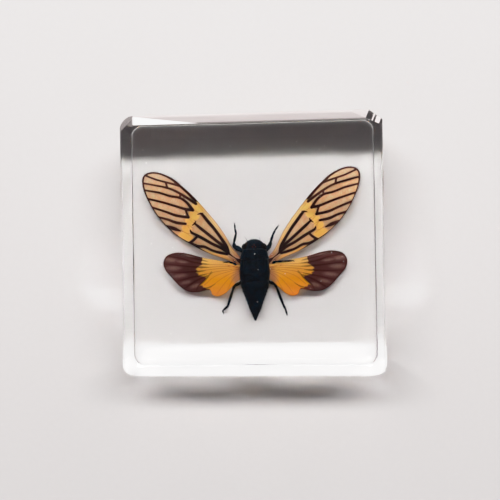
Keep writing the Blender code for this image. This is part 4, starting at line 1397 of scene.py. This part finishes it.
class CICADA_OT_body(Operator):
    """Models the head, the thorax and the ringed abdomen"""
    bl_idname = "cicada.body"
    bl_label = "Body"

    def execute(self, context):
        settings = context.scene.cicada_body
        cuticle = cuticle_material(settings)
        hair = hair_material("black_body_hair", settings.hair)
        for seed, (name, sections, relief) in enumerate((
                ("head", HEAD_SECTIONS, head_relief),
                ("thorax", THORAX_SECTIONS, thorax_relief),
                ("abdomen", ABDOMEN_SECTIONS, abdomen_relief))):
            data = skin(name, sections, relief)
            place_piece(name, data, cuticle)
            coat = grow(hair_coat, data, hair, density=settings.hair_density / MM ** 2,
                        length=settings.hair_length, thickness=0.02 * MM, lean=0.5, seed=seed)
            place_piece(f"{name}_hair", coat, hair)
        return {"FINISHED"}


class CICADA_OT_eyes(Operator):
    """Sets the two compound eyes and the three small eyes on the crown"""
    bl_idname = "cicada.eyes"
    bl_label = "Eyes"

    def execute(self, context):
        settings = context.scene.cicada_body
        faceted = eye_material(settings)
        x, y, z = EYE_PLACE
        for name, side in SIDES:
            data = ball((side * x, y, z), EYE_RADIUS, (1.0, 0.95, 1.05), 48)
            data.shade_smooth()
            place_piece(f"eye_{name}", data, faceted)
        domes = joined("ocelli", [ball(spot, OCELLUS_RADIUS, (1.0, 1.0, 1.0), 20)
                                  for spot in OCELLI])
        place_piece("ocelli", domes, ocellus_material(settings))
        return {"FINISHED"}


class CICADA_OT_limbs(Operator):
    """Bends the six legs, the beak and the feelers. They take the body's materials"""
    bl_idname = "cicada.limbs"
    bl_label = "Limbs"

    def execute(self, context):
        cuticle = bpy.data.materials["black_dried_cuticle"]
        hair = bpy.data.materials["black_body_hair"]
        draw = random.Random(5)
        for seed, (name, points) in enumerate(LEGS.items()):
            leg = joined(f"leg_{name}", [limb_mesh(jointed(points, 0.14), cuticle),
                                         *claws(points, cuticle)])
            place_piece(f"leg_{name}", leg, cuticle)
            # a short leg ends with its shin, and a long one has two parts of foot after it
            shin = points[-4:-2] if len(points) > 5 else points[-2:]
            spines = grow(bristle_row, spine_points(shin, draw), cuticle, length=0.55 * MM,
                          thickness=0.07 * MM, lean=0.15, seed=seed)
            place_piece(f"leg_spines_{name}", spines, cuticle)
            down = grow(hair_coat, leg, hair, density=14.0 / MM ** 2, length=0.26 * MM,
                        thickness=0.016 * MM, lean=0.8, seed=40 + seed)
            place_piece(f"leg_hair_{name}", down, hair)
        place_piece("beak", limb_mesh(jointed(BEAK, 0.05), cuticle), cuticle)
        for name, points in FEELERS.items():
            feeler = limb_mesh(jointed(points, 0.08, 3), cuticle, FINE_STEP, 10)
            place_piece(f"feeler_{name}", feeler, cuticle)
        return {"FINISHED"}


# ---------------------------------------------------------------- stage

def area_light(name, zenith, distance, size, power):
    """A soft rectangular light that stands ahead of the head and faces the block."""
    light = bpy.data.lights.new(name, "AREA")
    light.shape = "RECTANGLE"
    light.size, light.size_y = size
    light.energy = power
    lamp = bpy.data.objects.new(name, light)
    bpy.context.scene.collection.objects.link(lamp)
    tilt = math.radians(zenith)
    lamp.location = distance * Vector((0.0, math.sin(tilt), math.cos(tilt)))
    lamp.rotation_euler = (-lamp.location).to_track_quat("-Z", "Y").to_euler()
    return lamp


class CICADA_OT_stage(Operator):
    """Lays the pale floor, sets the lights and the camera"""
    bl_idname = "cicada.stage"
    bl_label = "Stage"

    def execute(self, context):
        settings = context.scene.cicada_stage
        self.lay_floor(settings)
        area_light("key_strip", KEY_ZENITH, LAMP_DISTANCE, KEY_SIZE, settings.key * MIRRORED)
        filtered = area_light("filtered_key_strip", KEY_ZENITH, LAMP_DISTANCE + FILTER_GAP,
                              KEY_SIZE, settings.key * (1 - MIRRORED))
        filtered.visible_glossy = False
        area_light("low_window", WINDOW_ZENITH, LAMP_DISTANCE, WINDOW_SIZE, settings.window)
        world = bpy.data.worlds.new("room")
        context.scene.world = world
        world.use_nodes = True
        room = world.node_tree.nodes["Background"]
        room.inputs["Color"].default_value = (*linear(ROOM_COLOUR), 1.0)
        room.inputs["Strength"].default_value = settings.fill
        self.set_camera(context.scene)
        # The light that the block bends stays sharp only without these two savings
        context.scene.cycles.blur_glossy = 0.0
        context.scene.cycles.sample_clamp_indirect = 0.0
        self.set_exposure(context.scene.view_settings)
        return {"FINISHED"}

    @staticmethod
    def lay_floor(settings):
        """Sized cotton paper: matt, off-white, with a soft felt-marked surface."""
        material, tree, shader = new_material("off_white_paper", 0.9)
        mottle(tree, shader, settings.floor, 0.96, 600.0, 3.0)
        data = bpy.data.meshes.new("floor")
        data.from_pydata([(x * FLOOR_REACH, y * FLOOR_REACH, FRAME_LOW.z - FLOOR_GAP)
                          for x, y in ((-1, -1), (1, -1), (1, 1), (-1, 1))], [], [(0, 1, 2, 3)])
        data.materials.append(material)
        floor = bpy.data.objects.new("floor", data)
        bpy.context.scene.collection.objects.link(floor)
        floor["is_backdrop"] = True

    @staticmethod
    def set_exposure(view):
        """Plain colours, with the brightest tones rolled off softly as a camera does."""
        view.view_transform = "Standard"
        view.use_curve_mapping = True
        curve = view.curve_mapping
        curve.white_level = (WHITE, WHITE, WHITE)
        for bright, shown in TONE_CURVE:
            curve.curves[3].points.new(bright / WHITE, shown)
        curve.update()

    @staticmethod
    def set_camera(scene):
        """Looks almost straight down, a little to the right of the block's middle."""
        lens = bpy.data.cameras.new("camera")
        lens.sensor_width = SENSOR
        lens.lens = LENS_PIXELS / IMAGE_SIZE * SENSOR
        lens.clip_start = 0.005
        lens.shift_x, lens.shift_y = (shift / IMAGE_SIZE for shift in CAMERA_SHIFT)
        camera = bpy.data.objects.new("camera", lens)
        scene.collection.objects.link(camera)
        camera.location = CAMERA_PLACE
        camera.rotation_euler = Euler([math.radians(turn) for turn in CAMERA_TURN])
        scene.camera = camera


STEPS = (CICADA_OT_stage, CICADA_OT_body, CICADA_OT_eyes, CICADA_OT_limbs, CICADA_OT_wings,
         CICADA_OT_specks, CICADA_OT_resin_block)


class CICADA_PT_panel(Panel):
    """Lists the settings and the steps"""
    bl_idname = "CICADA_PT_panel"
    bl_label = "Cicada block"
    bl_space_type = "VIEW_3D"
    bl_region_type = "UI"
    bl_category = "Cicada block"

    def draw(self, context):
        for title, settings in (("Resin", context.scene.cicada_resin),
                                ("Wings", context.scene.cicada_wings),
                                ("Body", context.scene.cicada_body),
                                ("Stage", context.scene.cicada_stage)):
            box = self.layout.box()
            box.label(text=title)
            for field in settings.__annotations__:
                box.prop(settings, field)
        for step in STEPS:
            self.layout.operator(step.bl_idname)


SETTINGS = {"cicada_resin": ResinSettings, "cicada_wings": WingSettings,
            "cicada_body": BodySettings, "cicada_stage": StageSettings}
CLASSES = (*SETTINGS.values(), *STEPS, CICADA_PT_panel)


def register():
    for kind in CLASSES:
        bpy.utils.register_class(kind)
    for name, kind in SETTINGS.items():
        setattr(bpy.types.Scene, name, PointerProperty(type=kind))


def unregister():
    for name in SETTINGS:
        delattr(bpy.types.Scene, name)
    for kind in reversed(CLASSES):
        bpy.utils.unregister_class(kind)


def main():
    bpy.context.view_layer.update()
    register()
    for step in STEPS:
        getattr(bpy.ops.cicada, step.bl_idname.split(".")[1])()


if __name__ == "__main__":
    main()
